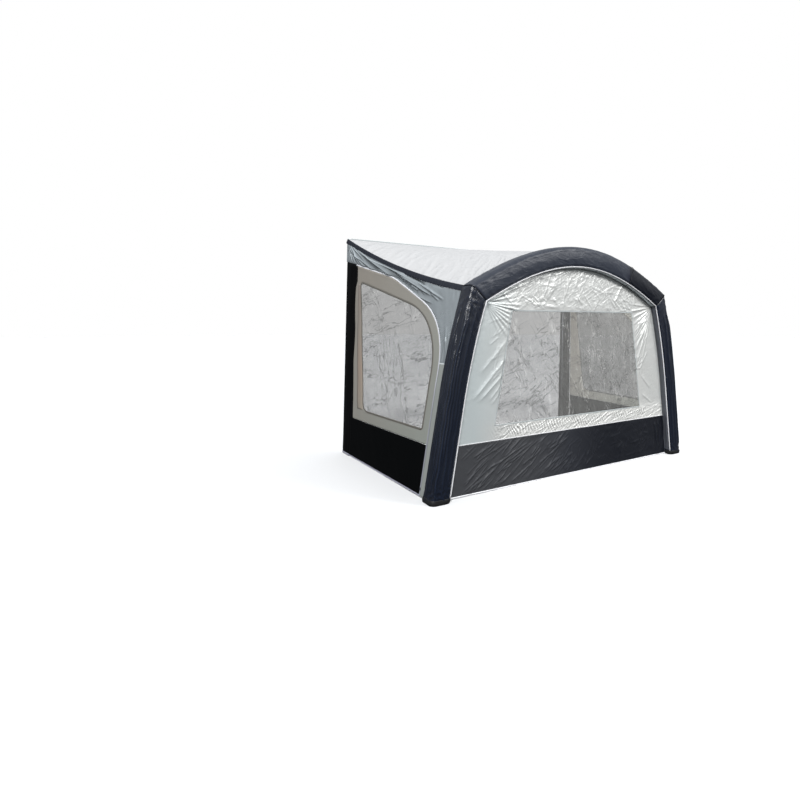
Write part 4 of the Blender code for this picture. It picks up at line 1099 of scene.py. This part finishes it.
def hose(name, points, radius, finish, around=10, closed=False):
    """A round cord along points in the row frame."""
    count = len(points)
    rings = count if closed else count - 1
    marks = [0.0]
    for before, after in zip(points, points[1:]):
        marks.append(marks[-1] + (after - before).length)

    def shape(u, v):
        k = round(u * rings)
        turn = math.tau * v
        here = points[k % count]
        before = points[(k - 1) % count] if closed or k else here
        after = points[(k + 1) % count] if closed or k < count - 1 else here
        way = (after - before).normalized()
        side = way.cross(Vector((0, 1, 0)))
        if side.length < 0.1:
            side = way.cross(Vector((0, 0, 1)))
        side.normalize()
        spoke = side * math.cos(turn) + side.cross(way) * math.sin(turn)
        return here + spoke * radius, Vector((marks[min(k, count - 1)], radius * turn))
    bm = grid(rings, around, shape)
    close_up(bm, NO_ENDS if closed else ALL_ENDS)
    return finish_piece(name, bm, finish)


def tape_section(half, near, far, edge=0.0008):
    """Flat tape: half its width, its outer and inner depth, with softened edges."""
    return [(-half, near + edge), (-half + edge, near), (half - edge, near), (half, near + edge),
            (half, far - edge), (half - edge, far), (-half + edge, far), (-half, far - edge)]


def puffed_section(half, near, far, steps=14, flat=0.55):
    """A soft flattened round."""
    middle, thick = (near + far) / 2, (far - near) / 2
    section = []
    for k in range(steps):
        turn = math.tau * k / steps
        a, b = math.cos(turn), math.sin(turn)
        section.append((half * math.copysign(abs(a) ** flat, a),
                        middle - thick * math.copysign(abs(b) ** 0.8, b)))
    return section


# The air beam's sleeve

GIRTH = 0.62            # metres round the sleeve
SECTION_TURNS = 144
SEAM_FADE = 0.02        # metres from a seam where the relief reaches its full height
LEDGE_FROM, LEDGE_TO = -0.021, 0.050
LEDGE_WIDTH, LEDGE_LIFT = 0.045, 0.0016
LEG_LOW = PAD_FLOOR + FIT
LEG_HIGH = SHOULDER_HEIGHT - FIT
LEG_LENGTH = (LEG_HIGH - LEG_LOW) * 1.03
LEDGE_LOW = 0.045       # above the foot of the leg
CROWN_LENGTH = length_of([arch(-1 + k / 40) for k in range(81)]) * 1.06

# Folds of a leg: share of the way round, how far it wanders, width, height, and from where to where
LEG_FOLDS = (
    (0.045, 0.014, 0.016, 0.006, 0.05, 1.45), (0.100, 0.014, 0.014, 0.005, 0.30, 1.55),
    (0.150, 0.016, 0.014, 0.005, 0.10, 0.95), (0.185, 0.018, 0.014, 0.006, 0.55, 1.58),
    (0.225, 0.018, 0.014, 0.006, 0.02, 1.15), (0.262, 0.014, 0.016, 0.008, 0.30, 1.60),
    (0.300, 0.022, 0.016, 0.013, 0.02, 1.50), (0.340, 0.020, 0.013, 0.012, 0.15, 1.25),
    (0.365, 0.022, 0.012, 0.011, 0.05, 1.40), (0.395, 0.024, 0.012, 0.012, 0.20, 1.60),
    (0.425, 0.024, 0.012, 0.010, 0.35, 1.60), (0.455, 0.018, 0.014, 0.009, 0.02, 0.90),
    (0.480, 0.014, 0.014, 0.006, 0.60, 1.50), (0.905, 0.014, 0.016, 0.005, 0.10, 1.40),
    (0.950, 0.014, 0.016, 0.005, 0.05, 1.20),
)
BOOT_TURNS = 72
BOOT_LEVELS = ((0.0, 0.0015), (0.003, 0.0042), (0.012, 0.0044), (0.022, 0.0044), (0.032, 0.0044),
               (0.040, 0.0043), (0.0450, 0.0040), (0.0455, 0.0030), (0.0445, 0.0012))


def section_run(width):
    """The sleeve's section as a closed curve of (across, depth), each corner and side an eighth of it."""
    arcs = []
    for a, depth, radius, first in ((0, 0, FRONT_CORNER, 180), (width, 0, FRONT_CORNER, 270),
                                    (width, BEAM_DEPTH, REAR_CORNER, 0), (0, BEAM_DEPTH, REAR_CORNER, 90)):
        centre = Vector((a + (radius if a == 0 else -radius), depth + (radius if depth == 0 else -radius)))
        turns = [math.radians(first + step) for step in range(0, 91, 9)]
        arcs.append([centre + Vector((math.cos(turn), math.sin(turn))) * radius for turn in turns])
    sides = []
    for k in range(4):
        sides += [arcs[k], [arcs[k][-1], arcs[(k + 1) % 4][0]]]
    return run(*sides)


section_of = kept(section_run)


def beam_skin(frame_at, turn, outward, side=1):
    """A point of the sleeve at a section and a share of the way round it, moved outwards."""
    inner, across = frame_at
    width = across.length
    at = section_of(round(width, 4))
    small = 0.004
    along = (at((turn + small) % 1.0) - at((turn - small) % 1.0)).normalized()
    here = at(turn) + Vector((along.y, -along.x)) * outward
    flat = inner + across / width * here.x
    return Vector((side * flat.x, beam_y(here.y, flat.y), flat.y))


def puffed(turn):
    """How far the sleeve swells between its edges: most on the sides, little at the rear."""
    place = turn * 8
    leg = int(place) % 8
    rise = math.sin(math.pi * (place - int(place)))
    return {1: 0.004, 3: 0.004, 5: 0.001, 7: 0.003}.get(leg, 0.0) * rise


def leg_relief(seed, lift=0.0):
    """Height of a leg's folds, by the share of the way round and metres up."""
    def relief(turn, up):
        up += lift
        total = 0.0
        for place, wander, width, height, low, high in LEG_FOLDS:
            middle = place + wander * noise.noise(Vector((up * 2.2, place * 9, seed)))
            middle += 0.012 * noise.noise(Vector((up * 9.0, place * 7, seed + 4.0)))
            apart = (turn - middle + 0.5) % 1.0 - 0.5
            ends = ease(up, low, low + 0.15) * (1 - ease(up, high - 0.15, high))
            total += height * math.exp(-(apart / width) ** 2) * ends
        around = Vector((turn * GIRTH, up))
        total += 0.0016 * ripple(around, 0.05, 0.05, 6.0, seed + 1.0)
        shoulder = ease(up, 1.30, 1.58)
        total += shoulder * (0.006 * crumple(around, 0.075, seed + 2.0) - 0.003)
        foot = 1 - ease(up, 0.04, 0.22)
        total += foot * (0.008 * crumple(around, 0.06, seed + 3.0) - 0.003)
        return max(-0.001, total)
    return relief


def crown_relief(turn, along):
    around = Vector((turn * GIRTH, along))
    total = 0.002 * ripple(around, 0.15, 0.06, 5.0, 61.0)
    edge = bell(turn, 0.31, 0.035) + bell(turn, 0.07, 0.03)
    total += edge * 0.003 * ripple(around, 1.57, 0.020, 2.0, 63.0)
    total += 0.002 * crumple(around, 0.16, 65.0)
    ends = 1 - ease(min(along, CROWN_LENGTH - along), 0.05, 0.28)
    total += ends * 0.005 * crumple(around, 0.08, 67.0)
    return max(-0.001, total - 0.001)


def skin(frames, length, relief, side, low, high, lift=0.0):
    """Places on the sleeve from frames(0) to frames(1), between two shares of the way round."""
    frames = kept(frames)

    def shape(across, share):
        turn = low + (high - low) * across
        if turn < 0:
            turn += 1
        fade = min(1.0, min(share, 1 - share) * length / SEAM_FADE)
        outward = (puffed(turn) + relief(turn, share * length)) * fade + lift
        return beam_skin(frames(share), turn % 1.0, outward, side)
    return shape


def sleeve(name, frames, length, relief, finish, replaces, side=1):
    """The skin of one stretch of the beam."""
    place = skin(frames, length, relief, side, 0.0, 1.0)

    def shape(turn, share):
        return place(turn, share), Vector((turn * GIRTH, share * length))
    bm = grid(SECTION_TURNS, round(length / PITCH), shape)
    close_up(bm, NO_ENDS)
    return finish_piece(name, bm, finish, replaces=replaces, thickness=SKIN)


def ledge(name, frames, length, relief, finish, inwards, side=1):
    """A strip on the beam's inner side, from the piping back to the front wall."""
    place = skin(frames, length, relief, side, LEDGE_FROM, LEDGE_TO, LEDGE_LIFT)

    def shape(across, share):
        return place(across, share), Vector((share * length, across * LEDGE_WIDTH))
    bm = grid(6, round(length / PITCH), shape)
    face_out(bm, inwards)
    return finish_piece(name, bm, finish, thickness=0.0008)


def seam_ring(name, frame_at, outward, radius, side=1):
    ring = [beam_skin(frame_at, k / 96, outward, side) for k in range(96)]
    hose(name, ring, radius, "tape_black", around=6, closed=True)


def build_beam():
    for name, side in SIDES:
        seed = 70.0 + side
        sleeve("beam_leg_" + name, lambda share: leg_frame(LEG_LOW + (LEG_HIGH - LEG_LOW) * share),
               LEG_LENGTH, leg_relief(seed), "sleeve_navy", "beam_sleeve_" + name, side)
        foot = LEG_LOW + LEDGE_LOW
        ledge("ledge_" + name, lambda share: leg_frame(foot + (LEG_HIGH - foot) * share), LEG_LENGTH * 0.97,
              leg_relief(seed, LEDGE_LOW), "ledge_grey", Vector((-side, 0, 0)), side)
        seam_ring("shoulder_seam_" + name, leg_frame(SHOULDER_HEIGHT), 0.0015, 0.0022, side)
    crown = lambda share: crown_frame(2 * share - 1)
    sleeve("beam_crown", crown, CROWN_LENGTH, crown_relief, "crown_slate", "beam_sleeve_crown")
    ledge("ledge_crown", crown, CROWN_LENGTH, crown_relief, "side_silver", Vector((0, 0, -1)))
    seam_ring("crown_seam", crown_frame(0.60), 0.0035, 0.0020)


def build_boots():
    """A crumpled boot of coated cloth under each leg."""
    for name, side in SIDES:
        def shape(u, v):
            share = (round(u * BOOT_TURNS) % BOOT_TURNS) / BOOT_TURNS
            z, grow = BOOT_LEVELS[min(round(v * len(BOOT_LEVELS)), len(BOOT_LEVELS) - 1)]
            around = Vector((min(share, 1 - share) * GIRTH, z))
            grow += 0.0075 * crumple(around, 0.050, 81.0) * bell(z, 0.022, 0.016)
            place = beam_skin((leg_frame(z)[0], Vector((BEAM_WIDTH, 0.0))), share, grow, side)
            if z > 0.03:
                place.z += 0.002 * noise.noise(Vector((share * 12.0, 3.0, side)))
            place.z = max(0.0, place.z)
            return place, None
        bm = grid(BOOT_TURNS, len(BOOT_LEVELS), shape)
        close_up(bm, 0.001)
        finish_piece("boot_" + name, bm, "boot_black", replaces="foot_pad_" + name, thickness=0.0015)


# The front wall

FRONT = Vector((0, -1, 0))


def spanned(low, high):
    """Flat places between two curves."""
    low, high = kept(low), kept(high)
    return lambda u, v: low(u).lerp(high(u), v)


def patch(bottom, top, rear, front):
    """Flat places inside four curves: a Coons patch, u along the bottom and v up."""
    bottom, top, rear, front = kept(bottom), kept(top), kept(rear), kept(front)

    def at(u, v):
        ruled = bottom(u).lerp(top(u), v) + rear(v).lerp(front(v), u)
        return ruled - bottom(0).lerp(bottom(1), u).lerp(top(0).lerp(top(1), u), v)
    return at


def joined(*legs):
    """A curve over polylines, each with its own share of the 0 to 1."""
    runs = []
    start = 0.0
    for points, share in legs:
        runs.append((start, share, run(points)))
        start += share

    def at(t):
        for begin, share, curve in reversed(runs):
            if t >= begin - 1e-9:
                return curve((t - begin) / share)
        return runs[0][2](0.0)
    return at


def cut(points, corners, closed=False):
    """A polyline cut at its points nearest to these corners, into runs. A closed one starts at the first
    corner and comes back to it."""
    cuts = [min(range(len(points)), key=lambda k: (points[k] - Vector(corner)).length) for corner in corners]
    count = len(points)
    if not closed:
        ends = [0, *cuts, count - 1]
        return [points[first:last + 1] for first, last in zip(ends, ends[1:])]
    return [[points[(first + k) % count] for k in range((last - first) % count + 1)]
            for first, last in zip(cuts, cuts[1:] + cuts[:1])]


def flipped(points):
    return [Vector((-point.x, point.y)) for point in reversed(points)]


def line(first, last, steps=1):
    first, last = Vector(first), Vector(last)
    return [first.lerp(last, k / steps) for k in range(steps + 1)]


def level(low, high, z, steps=1):
    return line((low, z), (high, z), steps)


def deeper(place, depth):
    return lambda flat, inward: place(flat, inward + depth)


def area_of(points):
    return abs(sum(here.cross(after) for here, after in zip(points, points[1:] + points[:1]))) / 2


def area_between(outer, inner, steps=240):
    spots = [k / steps for k in range(steps)]
    return area_of([outer(t) for t in spots]) - area_of([inner(t) for t in spots])


def crown_line(share, offset):
    """A point beside the crown's inner edge, towards the beam where the offset is above 0."""
    normal = arch_normal(share)
    if abs(share) > 0.999:
        normal = Vector((math.copysign(MITRE.x, share), MITRE.y)).normalized()
    return arch(share) + normal * offset


def inner_edge(offset):
    """Left edge from the skirt's top to the shoulder, then the crown from left to right: two runs."""
    heights = [SKIRT_TOP + (SHOULDER_HEIGHT - SKIRT_TOP) * k / 12 for k in range(13)]
    side = [Vector((offset - inner_half(z), z)) for z in heights]
    top = [crown_line(k / 20, -offset) for k in range(-20, 21)]
    side[-1] = top[0]
    return side, top


def build_front_wall():
    side, top = inner_edge(0.002)
    middle = Vector((0, SKIRT_TOP))
    other = flipped(side)
    outer = run(side, top[:21], top[20:], other, line(other[-1], middle), line(middle, side[0]))
    w0, w1 = WINDOW_BOTTOM_HALF, WINDOW_TOP_HALF
    z0, z1 = WINDOW_BOTTOM, WINDOW_TOP
    rim = [(-w0, z0), (-w1, z1), (0, z1), (w1, z1), (w0, z0), (0, z0), (-w0, z0)]
    inner = run(*[line(*ends) for ends in zip(rim, rim[1:])])
    panel = sheet("front_panel", spanned(outer, inner), (7.6, 0.27), front_point, front_folds, "front_silver",
                  FRONT, closed=True, pitch=0.70)
    lap = 0.008
    glass = spanned(run(level(-w0 - lap, w0 + lap, z0 - lap)), run(level(-w1 - lap, w1 + lap, z1 + lap)))
    window = sheet("front_window", glass, (1.9, 1.0), deeper(front_point, FILM_DEPTH), film_folds,
                   "window_film", FRONT)
    border = bead("window_border", [Vector(rim[k]) for k in (0, 4, 3, 1)],
                  tape_section(0.006, -0.0010, 0.0004), front_point, front_folds, "tape_silver", closed=True)
    edge, over = inner_edge(0.020)
    welt = bead("panel_welt", edge[:-1] + over + flipped(edge)[1:], tape_section(0.0022, -0.0014, 0.0004),
                front_point, front_folds, "tape_silver")
    foot, head = 0.016, SKIRT_TOP - 0.001
    clear = PAD_WALL + 0.006
    reach = inner_half(foot) - clear
    low = run(level(-reach, reach, foot))
    reach = inner_half(head) - 0.002
    skirt = sheet("front_skirt", spanned(low, run(level(-reach, reach, head))), (2.9, 0.43), front_point,
                  skirt_folds, "front_charcoal", FRONT, pitch=0.75)
    reach = inner_half(FRONT_HEM_HEIGHT) - clear
    hem = bead("front_hem", level(-reach, reach, FRONT_HEM_HEIGHT, 2), puffed_section(0.0068, -0.003, 0.005),
               front_point, front_hem_folds, "tape_white")
    reach = inner_half(SKIRT_TOP) - 0.003
    seam = bead("skirt_seam", level(-reach, reach, SKIRT_TOP, 2), puffed_section(0.0035, -0.0022, 0.0010, 10),
                front_point, front_folds, "tape_white")
    area_between(outer, inner)


def build_piping():
    reach = FRONT_CORNER * (1 - math.sqrt(0.5)) - (PIPING_RADIUS + 2 * FIT) * math.sqrt(0.5)
    right = []
    for k in range(41):
        height = PAD_HEIGHT + FIT + (SHOULDER_HEIGHT - PAD_HEIGHT - FIT) * k / 41
        inner, across = leg_frame(height)
        right.append(inner + across.normalized() * reach)
    path = right + [crown_line(1 - k / 30, reach) for k in range(61)] + flipped(right)
    points = [Vector((flat.x, beam_y(reach, flat.y), flat.y)) for flat in path]
    hose("front_piping", points, PIPING_RADIUS, "tape_white", around=12)


# The side walls

def build_side_wall(name, side):
    place = wall(side)
    out = Vector((side, 0, 0))
    front = SIDE_RUN - 0.001
    reach = FIT + ZIP_WIDTH + ZIP_GAP
    rear = DOOR_FRONT + reach
    above = [Vector((0, column_top(0) + FIT)), Vector((COLUMN_RUN, column_top(COLUMN_RUN) + FIT))]
    above += [point for point in shifted(door_path(), reach) if point.y > SPLIT_HEIGHT]
    above.append(Vector((rear, SPLIT_HEIGHT)))
    over, down = cut(above, [(1.46, 1.52)])
    edge = [Vector((front * k / 24, band_height(front * k / 24, 0.006 - BAND_HALF))) for k in range(25)]
    low = joined((over, 0.76), (down, 0.24))
    high = joined((edge, 0.76), (line(edge[-1], (front, SPLIT_HEIGHT)), 0.24))
    gusset = sheet("gusset_" + name, spanned(low, high), (2.45, 0.24), place, gusset_folds, "side_silver",
                   out, pitch=0.62)
    notch = front - PAD_WALL - 0.003
    front_line = [Vector((front, SPLIT_HEIGHT)), Vector((front, PAD_HEIGHT + 0.003)),
                  Vector((notch, PAD_HEIGHT + 0.001)), Vector((notch, HEM_BOTTOM))]
    strip = sheet("side_strip_" + name, spanned(run(line((rear, SPLIT_HEIGHT), (rear, HEM_BOTTOM))),
                                                run(front_line)),
                  (1.12, 0.09), place, strip_folds, "strip_grey", out)
    seam = bead("strip_seam_" + name, level(rear, front, SPLIT_HEIGHT), tape_section(0.006, -0.0012, 0.0003),
                place, strip_folds, "tape_silver")
    end = SIDE_RUN - FIT
    middle = [Vector((end * k / 40, band_height(end * k / 40))) for k in range(41)]
    round_band = puffed_section(BAND_HALF + 0.003, -BAND_PROUD - 0.002, BAND_INSIDE, 18, 0.45)
    bead("roof_band_" + name, middle, round_band, place, band_folds, "band_navy", pitch=0.007)
    lower = [Vector((point.x, point.y - BAND_HALF + 0.001)) for point in middle]
    edging = bead("band_edge_" + name, lower, tape_section(0.0045, -0.0026, 0.0004), place, band_folds,
                  "tape_white")
    area_of(above + [Vector((front, SPLIT_HEIGHT))] + edge[::-1])


FILM_DEPTH = 0.0014     # a window's depth behind the cloth round it
FRONT_HEM_HEIGHT = 0.012
DOOR_HEM_HEIGHT = 0.015
FRAME_SHARES = (0.3, 0.25, 0.2, 0.25)
WINDOW_CORNERS = ((0.270, 1.882), (1.36, 1.45), (1.495, 0.552), (0.43, 0.552))

# Edges of the strips laid on a door, from the top down
FLAP_EDGE = ((0.206, 2.047), (0.214, 1.90), (0.190, 1.83), (0.1845, 1.74), (0.1845, 1.65), (0.197, 1.51),
             (0.209, 1.40), (0.210, 1.28), (0.205, 1.17), (0.200, 1.07), (0.214, 0.85), (0.229, 0.635),
             (0.236, DOOR_SKIRT_TOP))
BEIGE_REAR = ((0.232, 1.86), (0.236, 1.70), (0.262, 1.23), (0.300, 0.86), (0.312, 0.64), (0.330, 0.56))
BEIGE_FRONT = ((0.266, 1.86), (0.288, 1.70), (0.353, 1.23), (0.403, 0.86), (0.433, 0.64), (0.446, 0.56))


def build_door(name, side):
    place = wall(side)
    out = Vector((side, 0, 0))
    body = "door_" + name
    rear, top = COLUMN_RUN + HINGE_GAP, DOOR_SKIRT_TOP

    def strip(piece, behind, ahead, depth, finish):
        """A flat strip laid on the door, between two edges that run down it."""
        behind, ahead = [Vector(point) for point in behind], [Vector(point) for point in ahead]
        return sheet(piece + name, spanned(run(behind), run(ahead)), (length_of(behind), 0.05),
                     deeper(place, depth), door_folds, finish, out, body)

    def tape(piece, path, section, folds, finish, closed=False):
        return bead(piece + name, path, section, place, folds, finish, body, closed=closed)

    path = [point for point in door_path() if point.y > top] + [Vector((DOOR_FRONT, top))]
    legs = [line((rear, top), (rear, DOOR_REAR_TOP), 2), *cut(path, [(1.40, 1.53)]),
            level(DOOR_FRONT, rear, top)]
    outer = joined(*zip(legs, FRAME_SHARES))
    window = rounded(DOOR_WINDOW)
    rest = cut(window, WINDOW_CORNERS, closed=True)
    inner = joined(*zip(rest[3:] + rest[:3], FRAME_SHARES))
    frame_piece = sheet("door_frame_" + name, spanned(outer, inner), (5.2, 0.13), place, door_folds,
                        "door_grey", out, body, closed=True)
    middle = sum(window, Vector((0, 0))) / len(window)
    grown = [point + (point - middle).normalized() * 0.006 for point in window]
    rest = cut(grown, WINDOW_CORNERS, closed=True)
    glass = patch(run(rest[2][::-1]), run(rest[0]), run(rest[3]), run(rest[1][::-1]))
    film_piece = sheet("door_window_" + name, glass, (1.15, 1.15), deeper(place, FILM_DEPTH), film_folds,
                       "door_film", out, body)
    border = tape("door_border_", window[::-1], tape_section(0.009, -0.0010, 0.0004), door_folds,
                  "tape_taupe", closed=True)
    dark = sheet("door_skirt_" + name, spanned(run(level(rear, DOOR_FRONT, 0.019)),
                                              run(level(rear, DOOR_FRONT, top - 0.001))),
                 (1.4, 0.41), place, side_skirt_folds, "door_black", out, body)
    hem = tape("door_hem_", level(rear, DOOR_FRONT, DOOR_HEM_HEIGHT, 2),
               puffed_section(0.0068, -0.0025, 0.0045), door_hem_folds, "tape_grey")
    zip_line = shifted(door_path(), FIT + ZIP_WIDTH / 2)
    zip_tape = tape("door_zip_", zip_line, tape_section(ZIP_WIDTH / 2, -0.0006, 0.0022, 0.0004), no_folds,
                    "zip_tape")
    coil = tape("zip_coil_", zip_line, puffed_section(0.0028, -0.0012, 0.0026, 8), no_folds, "zip_tape")
    flap = strip("hinge_flap_", [(rear, z) for q, z in FLAP_EDGE], FLAP_EDGE, -0.0020, "column_black")
    beige = strip("beige_strip_", BEIGE_REAR, BEIGE_FRONT, -0.0011, "tape_beige")
    area_between(outer, inner)
    area_of(window)


# The rear columns

COLUMN_TURNS = 56
COLUMN_ROWS = 170
COLUMN_GIRTH, COLUMN_TALL, COLUMN_FADE = 0.44, 2.1, 0.02


def build_column(name, side):
    """A soft upright pad with a hollow for the foam, its front edge slightly uneven."""
    corners = ((0, 0), (COLUMN_RUN, 0), (COLUMN_RUN, COLUMN_PAD), (0, COLUMN_PAD))
    ring = rounded([(*corner, COLUMN_CORNER) for corner in corners], step=math.radians(15))
    around = run(ring + ring[:1])
    centre = Vector((COLUMN_RUN / 2, COLUMN_PAD / 2))

    def shape(turn, share):
        here = around(turn % 1.0)
        z = column_top(here.x) * share
        swell = 0.004 * math.sin(math.pi * here.x / COLUMN_RUN) if here.y < 0.001 else 0.0
        rise = min(1.0, min(share, 1 - share) * COLUMN_TALL / COLUMN_FADE)
        grow = rise * (0.001 + swell + 0.003 * noise.noise(Vector((here.x * 7, z * 5.0, 4 + here.y * 20))))
        grow -= (1 - rise) * 0.001
        flat = here + (here - centre).normalized() * grow
        return side_point(max(flat.x, -0.001), z, flat.y, side), Vector((turn * COLUMN_GIRTH, z))
    bm = grid(COLUMN_TURNS, COLUMN_ROWS, shape)
    close_up(bm, ALL_ENDS)
    made = finish_piece("rear_column_" + name, bm, "column_black")
    bead("column_hem_" + name, level(0.012, COLUMN_RUN - 0.010, 0.016), tape_section(0.008, -0.0062, -0.0012),
         wall(side), no_folds, "tape_grey")


# The roof

def roof_area(steps=30):
    """Area of the roof, by small parallelograms."""
    total = 0.0
    for i in range(steps):
        for k in range(steps):
            corner = roof_point(Vector((2 * i / steps - 1, k / steps)))
            first = roof_point(Vector((2 * (i + 1) / steps - 1, k / steps))) - corner
            second = roof_point(Vector((2 * i / steps - 1, (k + 1) / steps))) - corner
            total += first.cross(second).length
    return total


def build_roof():
    roof = sheet("roof", lambda u, v: Vector((2 * u - 1, v)), (2.95, 1.72), roof_point, roof_folds,
                 "roof_silver", Vector((0, 0, 1)), metres=lambda flat: Vector((flat.x * 1.45, flat.y * 1.72)))
    roof_area()
    top = RAIL_HEIGHT + CLOTH
    half = side_point(ROOF_START, top, BAND_INSIDE).x - 0.001
    outline = [(-STRIP_DROP, 0.0), (-0.002, 0.0), (0.0, 0.0)]
    for k in range(13):
        turn = math.radians(-40 + 260 * k / 12)
        across, depth = BEAD_RADIUS * (1 + math.sin(turn)), BEAD_RADIUS * math.cos(turn)
        outline.append((across, STRIP_THICKNESS / 2 - depth))
    outline += [(0.0, STRIP_THICKNESS), (-STRIP_DROP, STRIP_THICKNESS)]
    bead("rail_strip", level(-half, half, top, 2), outline,
         lambda flat, inward: Vector((flat.x, REAR_Y - max(0.0, inward), flat.y)), no_folds, "tape_silver",
         pitch=0.05)


# Hard nodes keep their shapes and get their finishes

PAIR_FINISH = {"zip_metal": ("zip_slider", "zip_pull"), "foam_grey": ("rear_foam",),
               "peg_cord": ("peg_ring",),
               "painted_steel": ("pole_lower", "pole_upper", "roof_pole_outer", "roof_pole_inner"),
               "moulded_black": ("pole_foot", "pole_clamp", "clamp_lever", "rail_socket", "beam_socket")}
LONE_FINISH = {"bladder_skin": ("air_bladder",), "moulded_black": ("valve_base", "valve_stem", "valve_cap")}


def finish_nodes():
    rows = [(name, finish) for finish, names in LONE_FINISH.items() for name in names]
    rows += [(name + "_" + side, finish) for finish, names in PAIR_FINISH.items() for name in names
             for side, way in SIDES]
    for name, finish in rows:
        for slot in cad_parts[name].material_slots:
            slot.material = FINISH[finish]


stand_camera()
set_studio()
lay_floor()
build_beam()
build_boots()
build_front_wall()
build_piping()
for side_name, side in SIDES:
    build_side_wall(side_name, side)
    build_door(side_name, side)
    build_column(side_name, side)
build_roof()
finish_nodes()
